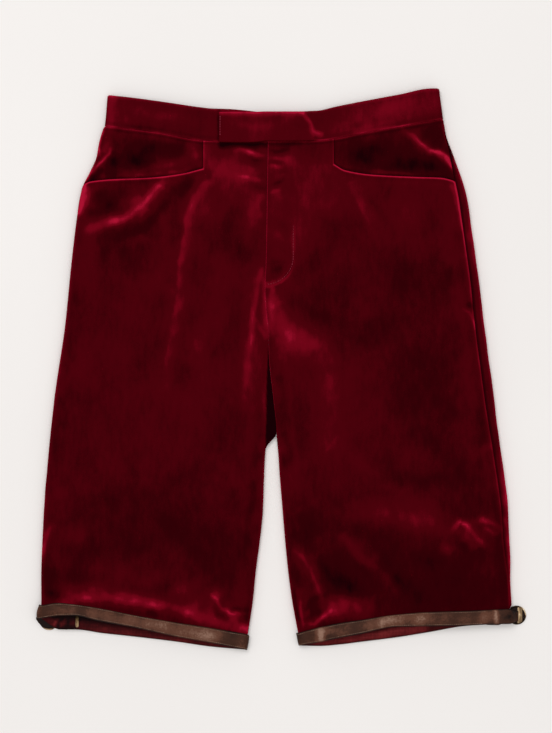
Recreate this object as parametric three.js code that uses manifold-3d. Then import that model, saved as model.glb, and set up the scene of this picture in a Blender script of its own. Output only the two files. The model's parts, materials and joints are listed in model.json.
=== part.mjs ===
// Knee-length velvet shorts, laid out flat with the front up, with a leather strap and a small ring
// buckle round each hem. Millimetres. +X is the wearer's left, +Y runs up to the waist and +Z up from
// the surface that the back panels lie on. "right" and "left" are the wearer's own sides.
import * as THREE from "three";
import { mergeVertices } from "three/addons/utils/BufferGeometryUtils.js";
import Module from "manifold-3d";

const wasm = await Module();
wasm.setup();

// ---- driving dimensions ----
const VELVET = 1.6; // wall of the velvet with its backing
const WAISTBAND = 3; // wall of the waistband: two layers of velvet and the interfacing
const LEATHER = 2; // wall of the hem straps
const SEAM_GAP = 0.3; // clearance between neighbouring pieces
const ROLL = { outer: 5.2, inner: 4.4, shoulder: 4.4 }; // radius of the rolled edges, their rise
const EDGE_HEIGHT = 6; // height of a leg's outermost edge above the surface
const VALLEY_HEIGHT = 5; // height of the front where it dips between the legs
const CROTCH = -80; // where the legs part
const CENTRE = -16.2; // centre front and centre back at the waist
const STRAP_WIDTH = 15.5; // leather hem strap
const HEM_INSET = 1; // the cloth ends this far above the strap's lower edge
const RING_LIFT = 2.4; // the ring lies under the strap and lifts the hem beside it
const WAIST_HEIGHT = 11.2; // top of the front waistband above the surface
const TAB = { end: -75, under: 31.5, flat: 46, drop: 1.2, top: 308.4 }; // the waist tab's places
const POCKET = { inner: { right: -94, left: 63 }, underlap: 6, dip: VELVET + 0.9 };
const BUCKLE = {
  radius: 10.5,
  wire: 0.9,
  bar: { width: 4.6, thick: 1.2, offset: 3.2 },
  centre: { right: { x: -280, y: -302.4 }, left: { x: 283.2, y: -295.8 } },
};
const KEEPER = { x: -245.4, top: -284, foot: -309.4, width: 4.2, wall: 1.4, high: 5.9, low: 6.4 };
// The left strap's tongue, from the edge of the leg down to the bar of its ring, and the hole in it.
// Places are measured from the middle of the ring.
const TONGUE = [
  { x: -12.4, z: 14.6, width: 14.6 }, { x: -7.2, z: 12.7, width: 14.2 },
  { x: -3.4, z: 9, width: 13.4 }, { x: -1.2, z: 5, width: 12.8 }, { x: 1.4, z: 3.8, width: 12.4 },
];
const HOLE = { x: -11.8, radius: 0.9 };

const ROWS = 27; // steps of a panel's grid down the garment
const SIDES = { right: -1, left: 1 };

// Waistband seen from above: its top edge and the waist seam, from the wearer's right to the left.
const WAIST = [
  { x: -211, top: 329.4, seam: 291.6 },
  { x: -182, top: 326.4, seam: 288 },
  { x: -146, top: 321.6, seam: 283.2 },
  { x: -92, top: 313.8, seam: 274.2 },
  { x: -50, top: 309.8, seam: 273 },
  { x: -16, top: 309, seam: 273.6 },
  { x: 22, top: 309, seam: 273.6 },
  { x: 44, top: 310.4, seam: 274.2 },
  { x: 64, top: 315, seam: 276.6 },
  { x: 94, top: 321, seam: 282.6 },
  { x: 142, top: 330, seam: 291 },
  { x: 178, top: 337, seam: 297.6 },
  { x: 191, top: 337.2, seam: 300 },
];
const WAIST_EDGE = { right: { top: -208.8, seam: -212.4 }, left: { top: 189.6, seam: 194.4 } };
const BACK_RISE = { x: -58, spread: 30, rise: 3 }; // where the back of the waistband stands proud

// Outermost edge of each leg from the waist seam to the hem.
const OUTER = {
  right: [
    { y: 292, x: -213.4 }, { y: 273, x: -219 }, { y: 254, x: -222.6 }, { y: 239, x: -229.2 },
    { y: 215, x: -240.6 }, { y: 196, x: -244.2 }, { y: 129, x: -252.6 }, { y: 52, x: -260.4 },
    { y: -25, x: -271.8 }, { y: -101, x: -280.2 }, { y: -178, x: -286.2 }, { y: -255, x: -289 },
    { y: -280, x: -288.6 }, { y: -294, x: -291.6 }, { y: -306, x: -291 },
  ],
  left: [
    { y: 301, x: 194.4 }, { y: 283, x: 197.4 }, { y: 254, x: 207.6 }, { y: 225, x: 217.8 },
    { y: 206, x: 222.6 }, { y: 177, x: 227.4 }, { y: 129, x: 234 }, { y: 52, x: 243.6 },
    { y: -25, x: 253.8 }, { y: -101, x: 264 }, { y: -178, x: 273 }, { y: -255, x: 275.4 },
    { y: -282, x: 276 }, { y: -292, x: 270 }, { y: -306, x: 266 },
  ],
};
// Centre seam down to the crotch, then the inseam.
const INNER = {
  right: [
    { y: 275, x: -16.2 }, { y: 203, x: -17.4 }, { y: 131, x: -18.6 }, { y: 101, x: -19.8 },
    { y: 71, x: -18 }, { y: 47, x: -15.6 }, { y: 20, x: -15.2 }, { y: -38, x: -9.4 },
    { y: -76, x: -5.8 }, { y: -96, x: -19 }, { y: -133, x: -21 }, { y: -169, x: -22.2 },
    { y: -205, x: -25.8 }, { y: -241, x: -30.6 }, { y: -277, x: -34.2 }, { y: -337, x: -43.4 },
  ],
  left: [
    { y: 275, x: -16.2 }, { y: 203, x: -17.4 }, { y: 131, x: -18.6 }, { y: 101, x: -19.8 },
    { y: 71, x: -18 }, { y: 47, x: -15.6 }, { y: 20, x: -15.2 }, { y: -38, x: -9.4 },
    { y: -76, x: -5.8 }, { y: -84, x: -5.6 }, { y: -96, x: -4.4 }, { y: -133, x: -1.8 },
    { y: -169, x: 1.2 }, { y: -205, x: 4.2 }, { y: -241, x: 7.8 }, { y: -277, x: 12.6 },
    { y: -331, x: 22.6 },
  ],
};
// Where the right leg's mound begins beside the web at the crotch.
const MOUND = [
  { y: 47, x: -15.6 }, { y: 20, x: -15.5 }, { y: -38, x: -16 }, { y: -72, x: -18 }, { y: -96, x: -19 },
];
// Down the garment: the front's height, how deep the centre dips (1 reaches the valley height), and
// how far the left side seam has rolled on to the front.
const PROFILE = [
  { y: 300, high: 10, dip: 0, roll: 0 },
  { y: 272, high: 11.5, dip: 0, roll: 2.4 },
  { y: 225, high: 15, dip: 0, roll: 9.6 },
  { y: 170, high: 16.5, dip: 0, roll: 10.8 },
  { y: 104, high: 16.5, dip: 0, roll: 10.2 },
  { y: 72, high: 16, dip: 0.2, roll: 11 },
  { y: 47, high: 16, dip: 0.5, roll: 11.4 },
  { y: 0, high: 16, dip: 0.9, roll: 11.4 },
  { y: -38, high: 16, dip: 1, roll: 11.4 },
  { y: -100, high: 16, dip: 1, roll: 9.6 },
  { y: -200, high: 16.5, dip: 1, roll: 7.8 },
  { y: -260, high: 17, dip: 1, roll: 2.4 },
  { y: -340, high: 17, dip: 1, roll: 1 },
];
// Each hem across the leg: upper and lower edge of the strap on the front, the back hem's edge, and
// the height of the strap's two edges.
const HEM = {
  right: [
    { x: -289, high: -282.6, low: -298, back: -300, zHigh: 12.4, zLow: 12.4 },
    { x: -266, high: -279.5, low: -294.6, back: -312.6, zHigh: 12.4, zLow: 15 },
    { x: -249, high: -281.4, low: -294, back: -312.6, zHigh: 12.4, zLow: 17 },
    { x: -218, high: -286.2, low: -300.4, back: -317, zHigh: 12.4, zLow: 18 },
    { x: -178, high: -294, low: -307.8, back: -321.4, zHigh: 12.6, zLow: 17 },
    { x: -125, high: -302.8, low: -319.6, back: -327.8, zHigh: 13.5, zLow: 15 },
    { x: -86, high: -309, low: -326.8, back: -333.4, zHigh: 12, zLow: 12 },
    { x: -41, high: -317.4, low: -336.6, back: -337.4, zHigh: 9, zLow: 9 },
  ],
  left: [
    { x: 22, high: -315.6, low: -331.2, back: -332.4, zHigh: 9, zLow: 9 },
    { x: 46, high: -308.4, low: -326.2, back: -332.8, zHigh: 12, zLow: 12 },
    { x: 70, high: -303.2, low: -320.6, back: -331, zHigh: 14, zLow: 15 },
    { x: 94, high: -299.6, low: -315.8, back: -328, zHigh: 15, zLow: 17 },
    { x: 137, high: -293, low: -307.2, back: -322.6, zHigh: 15, zLow: 17 },
    { x: 176, high: -290, low: -306.8, back: -316.4, zHigh: 14, zLow: 15.5 },
    { x: 221, high: -288.8, low: -306.2, back: -308.8, zHigh: 12.6, zLow: 13.4 },
    { x: 257, high: -287.2, low: -304.6, back: -306.4, zHigh: 12.4, zLow: 12.6 },
    { x: 277, high: -286.4, low: -304.8, back: -306, zHigh: 12.4, zLow: 12.4 },
  ],
};
// Lower edge of each pocket mouth, from its inner end to the side seam.
const MOUTH = {
  right: [
    { x: -94, y: 240.6 }, { x: -120, y: 234 }, { x: -160, y: 229.2 }, { x: -205, y: 227.4 },
    { x: -228, y: 225.4 }, { x: -242, y: 219.6 },
  ],
  left: [
    { x: 63, y: 245.8 }, { x: 76, y: 238.4 }, { x: 110, y: 232.8 }, { x: 150, y: 230.6 },
    { x: 190, y: 229.4 }, { x: 203, y: 227 }, { x: 222, y: 218 },
  ],
};
// J-shaped edge of the fly, from the waist down to the centre seam.
const FLY = { x: 14, straight: 135, bottom: 102 };
// The largest folds of the front: a ridge, or a trough where the depth is negative, along its points.
const FOLDS = [
  {
    name: "right hip ridge", depth: 3.6, width: 8,
    points: [[-236, 158], [-184, 174], [-158, 198], [-144, 220]],
  },
  {
    name: "right hip trough", depth: -2.4, width: 10,
    points: [[-216, 152], [-164, 166], [-136, 200], [-122, 226]],
  },
  {
    name: "right crease", depth: 1.8, width: 9,
    points: [[-88, 228], [-112, 172], [-122, 96], [-140, -16], [-156, -128]],
  },
  {
    name: "right inner ridge", depth: 1.8, width: 8,
    points: [[-25, 122], [-37, 62], [-41, 11], [-42, -68]],
  },
  { name: "fly swell", depth: 2.6, width: 15, points: [[-8, 78], [16, 41], [46, 26], [56, -4]] },
  {
    name: "left pocket fold", depth: 1.8, width: 9,
    points: [[84, 226], [101, 190], [116, 162], [130, 134]],
  },
  {
    name: "left leg ridge", depth: 2.4, width: 16,
    points: [[56, -92], [106, -134], [146, -164], [196, -208]],
  },
  { name: "left leg lower fold", depth: 2, width: 9, points: [[72, -198], [98, -224], [138, -258]] },
  {
    name: "left knee fold", depth: 2, width: 9,
    points: [[14, -216], [30, -230], [44, -258], [50, -270]],
  },
  { name: "left crumple", depth: 2.2, width: 9, points: [[204, -186], [226, -198], [244, -206]] },
  {
    name: "right hem ridge", depth: 2.6, width: 8,
    points: [[-275, -275], [-246, -268], [-212, -268], [-172, -277], [-136, -286]],
  },
  { name: "left hem swell", depth: 2, width: 11, points: [[42, -296], [64, -282], [110, -278]] },
  {
    name: "right leg trough", depth: -1.8, width: 14,
    points: [[-194, -144], [-134, -192], [-80, -246]],
  },
];

// ---- reading the tables ----
const clamp01 = (a) => Math.min(1, Math.max(0, a));
const smooth = (a) => clamp01(a) ** 2 * (3 - 2 * clamp01(a));
const mix = (a, b, share) => a + (b - a) * share;

// A table's column at a place along its key, on a smooth curve through the rows that never overshoots.
function along(table, key, column, at) {
  const rows = table[0][key] < table[table.length - 1][key] ? table : [...table].reverse();
  const last = rows.length - 1;
  if (at <= rows[0][key]) return rows[0][column];
  if (at >= rows[last][key]) return rows[last][column];
  const step = (i) => rows[i + 1][key] - rows[i][key];
  const slope = (i) => (rows[i + 1][column] - rows[i][column]) / step(i);
  const tangent = (i) => {
    if (i === 0 || i === last) return slope(Math.min(i, last - 1));
    const [a, b] = [slope(i - 1), slope(i)];
    return a * b <= 0 ? 0 : (2 * a * b) / (a + b);
  };
  let i = 0;
  while (at > rows[i + 1][key]) i += 1;
  const h = step(i);
  const s = (at - rows[i][key]) / h;
  return (
    rows[i][column] * (1 + 2 * s) * (1 - s) ** 2 +
    h * tangent(i) * s * (1 - s) ** 2 +
    rows[i + 1][column] * s * s * (3 - 2 * s) +
    h * tangent(i + 1) * s * s * (s - 1)
  );
}

// Height that the folds add at a point: each has a bell-shaped section and fades at both ends.
function foldHeight(x, y) {
  let total = 0;
  for (const { depth, width, points } of FOLDS) {
    let nearest = Infinity;
    let share = 0;
    for (let k = 0; k + 1 < points.length; k += 1) {
      const [[ax, ay], [bx, by]] = [points[k], points[k + 1]];
      const length2 = (bx - ax) ** 2 + (by - ay) ** 2;
      const s = clamp01(((x - ax) * (bx - ax) + (y - ay) * (by - ay)) / length2);
      const distance = Math.hypot(x - mix(ax, bx, s), y - mix(ay, by, s));
      if (distance < nearest) {
        nearest = distance;
        share = (k + s) / (points.length - 1);
      }
    }
    total += depth * Math.exp(-((nearest / width) ** 2)) * Math.sin(Math.PI * share) ** 0.6;
  }
  return total;
}

// ---- the garment's surfaces ----
// A leg's section is one path: its position is 0 at the outermost edge, positive over the front and
// negative under the back, in millimetres along the section to the centre seam or the inseam.
const QUARTER = Math.PI / 2;
const waistTop = (x) => along(WAIST, "x", "top", x);
const waistSeam = (x) => along(WAIST, "x", "seam", x);
const outerEdge = (side, y) => along(OUTER[side], "y", "x", y);
const innerEdge = (side, y) => along(INNER[side], "y", "x", y) + (SIDES[side] * SEAM_GAP) / 2;
const hem = (side, column, x) => along(HEM[side], "x", column, x);
const legs = (y) => smooth((CROTCH - y) / 24);
const sectionLength = (side, y) =>
  SIDES[side] * (outerEdge(side, y) - innerEdge(side, y)) + (QUARTER - 1) * (ROLL.outer + ROLL.inner);

// Sideways place of a section position.
function acrossAt(side, position, y) {
  const sign = SIDES[side];
  const fromOuter = Math.abs(position);
  const fromInner = sectionLength(side, y) - fromOuter;
  if (fromInner < QUARTER * ROLL.inner) {
    const inward = sign * ROLL.inner * (1 - Math.cos(Math.abs(fromInner) / ROLL.inner));
    return innerEdge(side, y) + (fromInner < 0 ? mix(-inward, inward, legs(y)) : inward);
  }
  const turned = Math.min(fromOuter, QUARTER * ROLL.outer);
  const inward = ROLL.outer * (1 - Math.cos(turned / ROLL.outer)) + fromOuter - turned;
  return outerEdge(side, y) - sign * inward;
}

const nearHem = (side, x, y) => 1 - smooth((y - hem(side, "back", x) - 17) / 24);
const edgeHeight = (side, x, y) => EDGE_HEIGHT + 2 * nearHem(side, x, y);

// Height of the front's outer surface.
function frontHeight(side, position, x, y) {
  const sign = SIDES[side];
  const edge = edgeHeight(side, x, y);
  const below = waistSeam(x) - y;
  const loft = mix(WAIST_HEIGHT, along(PROFILE, "y", "high", y), smooth(below / 45));
  const toHem = y - hem(side, "high", x);
  const strap = clamp01(-toHem / (hem(side, "high", x) - hem(side, "low", x)));
  const atHem = mix(hem(side, "zHigh", x), hem(side, "zLow", x), strap);
  const inward = sign * (outerEdge(side, y) - x);
  const crown = mix(loft, atHem, 1 - smooth(toHem / 45)) + foldHeight(x, y) * smooth(inward / 40);
  const shoulder = edge + ROLL.shoulder * Math.sin(Math.min(position / ROLL.outer, QUARTER));
  const crossed = shoulder + (crown - edge - ROLL.shoulder) * smooth(inward / 40);
  const left = sectionLength(side, y) - position;
  const webbed = side === "right" && y > CROTCH - 20;
  const start = webbed ? along(MOUND, "y", "x", y) - x : sign * (x - innerEdge(side, y));
  const lip = ROLL.shoulder * 0.7 * legs(y);
  const turned = Math.sin(Math.min(left / ROLL.inner, QUARTER));
  const valley = VALLEY_HEIGHT + lip * turned + (crossed - VALLEY_HEIGHT - lip) * smooth(start / 26);
  return mix(crossed, valley, along(PROFILE, "y", "dip", y));
}

// Height of the back's underside: on the surface, lifted by the strap and the ring at the hem.
function backHeight(side, position, x, y) {
  const lift = LEATHER + SEAM_GAP + RING_LIFT * smooth((SIDES[side] * x - 226) / 26);
  const base = lift * nearHem(side, x, y);
  const outer = Math.sin(Math.min(-position / ROLL.outer, QUARTER));
  const inner = Math.sin(Math.min((sectionLength(side, y) + position) / ROLL.inner, QUARTER));
  const turned = mix(edgeHeight(side, x, y), base, outer);
  return mix(turned, VALLEY_HEIGHT, legs(y) * (1 - inner));
}

function heightAt(side, position, x, y) {
  const at = position >= 0 ? frontHeight : backHeight;
  const over = Math.abs(position) - sectionLength(side, y);
  if (over <= 0) return at(side, position, x, y);
  const end = position - Math.sign(position) * over;
  const same = at(side, end - Math.sign(position) * over, x, y);
  return mix(same, 2 * at(side, end, innerEdge(side, y), y) - same, legs(y));
}

// How far a row has changed from the front's edges (0) to the back's (1), at a section position.
function undersideShare(side, position, y) {
  const left = Math.max(0, sectionLength(side, y) - Math.abs(position));
  const inner = 0.5 * legs(y) * (1 - Math.sin(Math.min(left / ROLL.inner, QUARTER)));
  if (position >= 0) return inner;
  return Math.sin(Math.min(-position / ROLL.outer, QUARTER)) ** 2 - inner;
}

// A point of the shorts: a place across the section, given for each height, on a row between two edges.
function pointOn(side, place, row) {
  let [x, y] = [acrossAt(side, place(0), 0), 0];
  for (let pass = 0; pass < 14; pass += 1) {
    y = row(x, undersideShare(side, place(y), y));
    x = acrossAt(side, place(y), y);
  }
  return [x, y, heightAt(side, place(y), x, y)];
}

// ---- walls ----
function solidOf(vertices, faces) {
  return new wasm.Manifold(
    new wasm.Mesh({
      numProp: 3,
      vertProperties: new Float32Array(vertices),
      triVerts: new Uint32Array(faces),
    }),
  );
}

// A three.js geometry as a solid, with the vertices of its separate faces joined.
function solidFrom(geometry) {
  geometry.deleteAttribute("normal");
  geometry.deleteAttribute("uv");
  const merged = mergeVertices(geometry, 1e-4);
  return solidOf(merged.attributes.position.array, merged.index.array);
}

// A closed wall from a grid of outer points and the grid of inner points behind them.
function wallBetween(outer, inner) {
  const [count, across] = [outer.length, outer[0].length];
  const far = count * across;
  const faces = [];
  const quad = (a, b, c, d) => faces.push([a, b, c], [a, c, d]);
  for (let i = 0; i + 1 < count; i += 1) {
    for (let j = 0; j + 1 < across; j += 1) {
      const [a, b] = [i * across + j, (i + 1) * across + j];
      quad(a, b, b + 1, a + 1);
      faces.push([far + b + 1, far + b, far + a], [far + a + 1, far + b + 1, far + a]);
    }
    const [a, b] = [i * across, (i + 1) * across];
    quad(a, far + a, far + b, b);
    quad(b + across - 1, far + b + across - 1, far + a + across - 1, a + across - 1);
  }
  for (let j = 0; j + 1 < across; j += 1) {
    quad(j + 1, far + j + 1, far + j, j);
    const c = (count - 1) * across + j;
    quad(c, far + c, far + c + 1, c + 1);
  }
  return solidOf([...outer.flat(2), ...inner.flat(2)], faces.flat());
}

// A wall on the garment's surface: its columns are section positions, its rows run down the garment.
// The outer face is moved out from the cloth, and negative amounts move it in.
function clothWall({ side, columns, rows, count, thickness, moved = () => 0 }) {
  const sign = SIDES[side];
  const reversed = sign * (columns[1](0) - columns[0](0)) > 0;
  const outer = [];
  const inner = [];
  for (let i = 0; i <= count; i += 1) {
    const share = i / count;
    const outerRow = [];
    const innerRow = [];
    for (const column of columns) {
      const at = (step, down) =>
        new THREE.Vector3(
          ...pointOn(side, (y) => column(y) + step, (x, under) => rows(x, share + down, under)),
        );
      const point = at(0, 0);
      const normal = at(-0.5, 0).sub(at(0.5, 0)).cross(at(0, -0.006).sub(at(0, 0.006)));
      normal.normalize().multiplyScalar(sign);
      const out = moved(point.x, point.y, column(point.y), share);
      outerRow.push(point.clone().addScaledVector(normal, out).toArray());
      innerRow.push(point.addScaledVector(normal, out - thickness).toArray());
    }
    outer.push(reversed ? outerRow.reverse() : outerRow);
    inner.push(reversed ? innerRow.reverse() : innerRow);
  }
  return wallBetween(outer, inner);
}

// Section position of a distance in from the outermost edge, on the front.
function positionOf(inward) {
  if (inward >= ROLL.outer) return inward + (QUARTER - 1) * ROLL.outer;
  return ROLL.outer * Math.acos(1 - Math.max(0, inward) / ROLL.outer);
}
const sideSeam = (side) => (y) => (side === "left" ? positionOf(along(PROFILE, "y", "roll", y)) : 0);
// Columns from one section position to another: closer together over the first and last stretch.
function columnsBetween(from, to, ends, middle, stretch) {
  const shares = [];
  for (let k = 0; k < ends; k += 1) shares.push([k / ends, 0]);
  for (let k = 0; k <= middle; k += 1) shares.push([1, k / middle]);
  for (let k = ends - 1; k >= 0; k -= 1) shares.push([k / ends, 1]);
  return shares.map(([near, far]) => (y) => {
    const [a, b] = [from(y), to(y)];
    const turn = stretch * Math.sign(b - a);
    if (far === 0) return a + turn * near;
    if (far === 1) return b - turn * near;
    return mix(a + turn, b - turn, far);
  });
}

// Edges of the strap, as they change from the front of a hem to its back.
const strapTop = (side, x, under) => mix(hem(side, "high", x), hem(side, "back", x) + STRAP_WIDTH, under);
const strapFoot = (side, x, under) => mix(hem(side, "low", x), hem(side, "back", x), under);
// Rows of the cloth: most of them above the strap, and the last two steps behind it.
const clothRow = (side) => (x, share, under) => {
  const above = 1 - 2 / ROWS;
  const [top, foot] = [strapTop(side, x, under), strapFoot(side, x, under) + HEM_INSET];
  return share <= above
    ? mix(waistSeam(x) - SEAM_GAP * (1 + 3 * under), top, share / above)
    : mix(top, foot, (share - above) / (1 - above));
};

function frontWall(side) {
  return clothWall({
    side,
    columns: columnsBetween(
      (y) => sideSeam(side)(y) + SEAM_GAP / 2,
      (y) => sectionLength(side, y) - SEAM_GAP / 2,
      4, 12, 8,
    ),
    rows: clothRow(side),
    count: ROWS,
    thickness: VELVET,
  });
}

// Columns under the back, from the foot of the outer roll to the centre back and the inseam.
const underColumns = (side) =>
  columnsBetween(
    () => -QUARTER * ROLL.outer,
    (y) => -sectionLength(side, y) + SEAM_GAP / 2,
    3, 8, QUARTER * ROLL.inner,
  );

function backWall(side) {
  const seam = (y) => sideSeam(side)(y) - SEAM_GAP / 2;
  const above = side === "left" ? [0, 0.25, 0.5, 0.75].map((k) => (y) => seam(y) * (1 - k)) : [];
  const start = side === "left" ? 0 : -SEAM_GAP / 2;
  const turn = [0, 0.25, 0.5, 0.75].map((k) => () => mix(start, -QUARTER * ROLL.outer, k));
  const columns = [...above, ...turn, ...underColumns(side)];
  return clothWall({ side, columns, rows: clothRow(side), count: ROWS, thickness: VELVET });
}

// ---- pockets and fly ----
const mouthAt = (side, x) => along(MOUTH[side], "x", "y", x);

// An upright prism over a plan outline.
function prism(outline) {
  const shape = new THREE.Shape(outline.map(([x, y]) => new THREE.Vector2(x, y)));
  const block = new THREE.ExtrudeGeometry(shape, { depth: 60, bevelEnabled: false });
  return solidFrom(block.translate(0, 0, -20));
}

// The part of a front panel that the pocket mouth leaves open.
function pocketOpening(side) {
  const sign = SIDES[side];
  const inner = POCKET.inner[side];
  const outline = [[inner, 340]];
  const far = sign * 250;
  for (let k = 0; k <= 24; k += 1) {
    const x = mix(inner, far, k / 24);
    outline.push([x, mouthAt(side, x)]);
  }
  outline.push([far, 340]);
  return prism(sign < 0 ? outline : outline.reverse());
}

// The facing seen above the mouth: flush at the waist seam, and under the panel along the mouth.
function facingWall(side) {
  const sign = SIDES[side];
  const seam = (y) => sideSeam(side)(y) + SEAM_GAP / 2;
  const inner = POCKET.inner[side] + sign * SEAM_GAP;
  const end = (y) => positionOf(sign * (outerEdge(side, y) - inner));
  const rolled = (y) => (side === "left" ? along(PROFILE, "y", "roll", y) : 0);
  const fromSeam = (x, y) => sign * (outerEdge(side, y) - x) - rolled(y);
  const lower = (x) => {
    const y = mouthAt(side, x);
    return y + 1.3 - (POCKET.underlap + 1.3) * smooth((fromSeam(x, y) - 12) / 8);
  };
  return clothWall({
    side,
    columns: columnsBetween(seam, end, 4, 7, 12),
    rows: (x, share) => mix(waistSeam(x) - SEAM_GAP, lower(x), share),
    count: 10,
    thickness: VELVET,
    moved: (x, y) => {
      const toMouth = clamp01((waistSeam(x) - y) / (waistSeam(x) - mouthAt(side, x) - 3));
      return -POCKET.dip * smooth(toMouth * 1.02) * smooth((fromSeam(x, y) - 1) / 8);
    },
  });
}

// The lap of the fly: its J-shaped edge runs down from the waist and curves in to the centre seam.
function flyOutline(grown) {
  const outline = [[-40, 340], [-40, FLY.bottom - grown]];
  const centre = innerEdge("left", FLY.bottom);
  outline.push([centre, FLY.bottom - grown]);
  for (let k = 1; k <= 10; k += 1) {
    const turn = (k / 10) * QUARTER;
    const x = mix(centre, FLY.x, Math.sin(turn)) + grown * Math.sin(turn);
    const y = mix(FLY.straight, FLY.bottom, Math.cos(turn)) - grown * Math.cos(turn);
    outline.push([x, y]);
  }
  outline.push([FLY.x + grown, 340]);
  return prism(outline);
}

// ---- waistband ----
// One half of the waistband, from the centre back round the side and over the front. The left half
// climbs over the end of the right half and runs on as the tab.
function bandWall(side) {
  const sign = SIDES[side];
  const [radius, edge] = [WAIST_HEIGHT / 2, WAIST_EDGE[side]];
  const turn = edge.top - sign * radius;
  const path = [];
  const run = (first, last, from, to, more) => {
    for (let k = first; k <= last; k += 1) path.push({ x: mix(from, to, k / last), ...more(k / last) });
  };
  run(0, 9, CENTRE + (sign * SEAM_GAP) / 2, turn, () => ({ under: true }));
  for (let k = 1; k < 8; k += 1) path.push({ angle: (k / 8) * Math.PI });
  run(0, 9, turn, side === "left" ? TAB.flat : TAB.under - SEAM_GAP, () => ({}));
  if (side === "left") {
    run(1, 4, TAB.flat, TAB.under + 0.6, (share) => ({ climb: smooth(share) }));
    run(1, 5, TAB.under + 0.6, TAB.end, () => ({ climb: 1 }));
  }
  const pointAt = ({ x, under, angle, climb = 0 }, share) => {
    const extreme = mix(edge.top, edge.seam, share);
    const shift = (px) => px + (extreme - edge.top) * smooth((sign * px - 120) / 70);
    if (angle !== undefined) {
      const px = extreme - sign * radius * (1 - Math.sin(angle));
      return [px, mix(waistTop(px), waistSeam(px), share), radius * (1 - Math.cos(angle))];
    }
    const px = shift(x);
    const proud = Math.exp(-(((px - BACK_RISE.x) / BACK_RISE.spread) ** 2));
    const rise = under ? BACK_RISE.rise * proud : 0;
    const past = climb * smooth((CENTRE - px) / 20);
    const top = waistTop(px) - past * (waistTop(px) - TAB.top);
    const y = mix(top + rise, waistSeam(px) - TAB.drop * past, share);
    return [px, y, under ? 0 : WAIST_HEIGHT + climb * (WAISTBAND + SEAM_GAP)];
  };
  const count = 5;
  const outer = [];
  const inner = [];
  for (let i = 0; i <= count; i += 1) {
    const share = i / count;
    const points = path.map((place) => pointAt(place, share));
    const [outerRow, innerRow] = [[], []];
    points.forEach(([x, y, z], k) => {
      const [before, after] = [points[Math.max(0, k - 1)], points[Math.min(path.length - 1, k + 1)]];
      const [dx, dz] = [after[0] - before[0], after[2] - before[2]];
      const wall = (sign * WAISTBAND) / Math.hypot(dx, dz);
      outerRow.push([x, y, z]);
      innerRow.push([x - dz * wall, y, z + dx * wall]);
    });
    outer.push(sign > 0 ? outerRow.reverse() : outerRow);
    inner.push(sign > 0 ? innerRow.reverse() : innerRow);
  }
  return wallBetween(outer, inner);
}

// ---- hem straps and buckles ----
// A strap round the outside of a hem: from the ring over the front, round the inseam and back under.
function strapWall(side) {
  const end = (y) => sectionLength(side, y) - SEAM_GAP / 2;
  const front = columnsBetween(sideSeam(side), end, 4, 12, 8);
  const edge = side === "left" ? [() => -2.4, () => 0, () => 2] : [() => -2.4];
  const strap = clothWall({
    side,
    columns: [...edge, ...front, ...underColumns(side).slice(1).reverse()],
    rows: (x, share, under) => {
      const [top, foot] = [strapTop(side, x, under), strapFoot(side, x, under)];
      const step = share * 3;
      return step <= 2 ? mix(top, foot + HEM_INSET, step / 2) : foot + HEM_INSET * (3 - step);
    },
    count: 3,
    thickness: LEATHER,
    moved: () => LEATHER + SEAM_GAP,
  });
  if (side === "right") return strap;
  // The tongue runs on from the outer edge and down to the bar of the ring.
  const { x, y } = BUCKLE.centre[side];
  const layer = (drop) => [0.5, -0.5].map((part) =>
    TONGUE.map((place, k) => {
      const [before, after] = [TONGUE[Math.max(0, k - 1)], TONGUE[Math.min(TONGUE.length - 1, k + 1)]];
      const ahead = new THREE.Vector2(after.x - before.x, after.z - before.z).normalize();
      const edge = y - 1 + part * place.width;
      return [x + place.x + drop * ahead.y, edge, place.z - drop * ahead.x];
    }));
  const tongue = wallBetween(layer(0), layer(LEATHER));
  const hole = new THREE.CylinderGeometry(HOLE.radius, HOLE.radius, 30, 12).rotateX(QUARTER);
  return strap.add(tongue).subtract(solidFrom(hole.translate(x + HOLE.x, y - 0.4, 10)));
}

function buckle(side) {
  const { x, y } = BUCKLE.centre[side];
  const { radius, wire, bar } = BUCKLE;
  const ring = new THREE.TorusGeometry(radius, wire, 8, 32).translate(x, y, wire + 0.05);
  const plate = new THREE.BoxGeometry(bar.width, 2 * radius - 1, bar.thick);
  plate.translate(x + SIDES[side] * bar.offset, y, wire + 0.05);
  return solidFrom(ring).add(solidFrom(plate));
}

// The brass bar that lies on the inside of the right back hem.
function keeper() {
  const half = KEEPER.width / 2;
  const shape = new THREE.Shape();
  shape.moveTo(-half, half).absarc(0, half, half, Math.PI, 2 * Math.PI, false);
  shape.lineTo(half, KEEPER.top - KEEPER.foot).lineTo(-half, KEEPER.top - KEEPER.foot);
  const bar = new THREE.ExtrudeGeometry(shape, {
    depth: KEEPER.wall, bevelEnabled: false, curveSegments: 8,
  });
  bar.rotateX(Math.atan2(KEEPER.high - KEEPER.low, KEEPER.top - KEEPER.foot));
  return solidFrom(bar.translate(KEEPER.x, KEEPER.foot, KEEPER.low));
}

// ---- the scene ----
function geometryOf(solid) {
  const { vertProperties, triVerts, numProp } = solid.getMesh();
  const places = new Float32Array((vertProperties.length / numProp) * 3);
  for (let i = 0; i < places.length / 3; i += 1) {
    places.set(vertProperties.subarray(i * numProp, i * numProp + 3), i * 3);
  }
  const geometry = new THREE.BufferGeometry();
  geometry.setAttribute("position", new THREE.BufferAttribute(places, 3));
  geometry.setIndex(new THREE.BufferAttribute(new Uint32Array(triVerts), 1));
  geometry.computeVertexNormals();
  return geometry;
}

const FINISH = {
  velvet: { color: "#6d0417", roughness: 0.85, metalness: 0 },
  leather: { color: "#4a2c20", roughness: 0.5, metalness: 0 },
  brass: { color: "#8a7040", roughness: 0.3, metalness: 1 },
};

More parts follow.
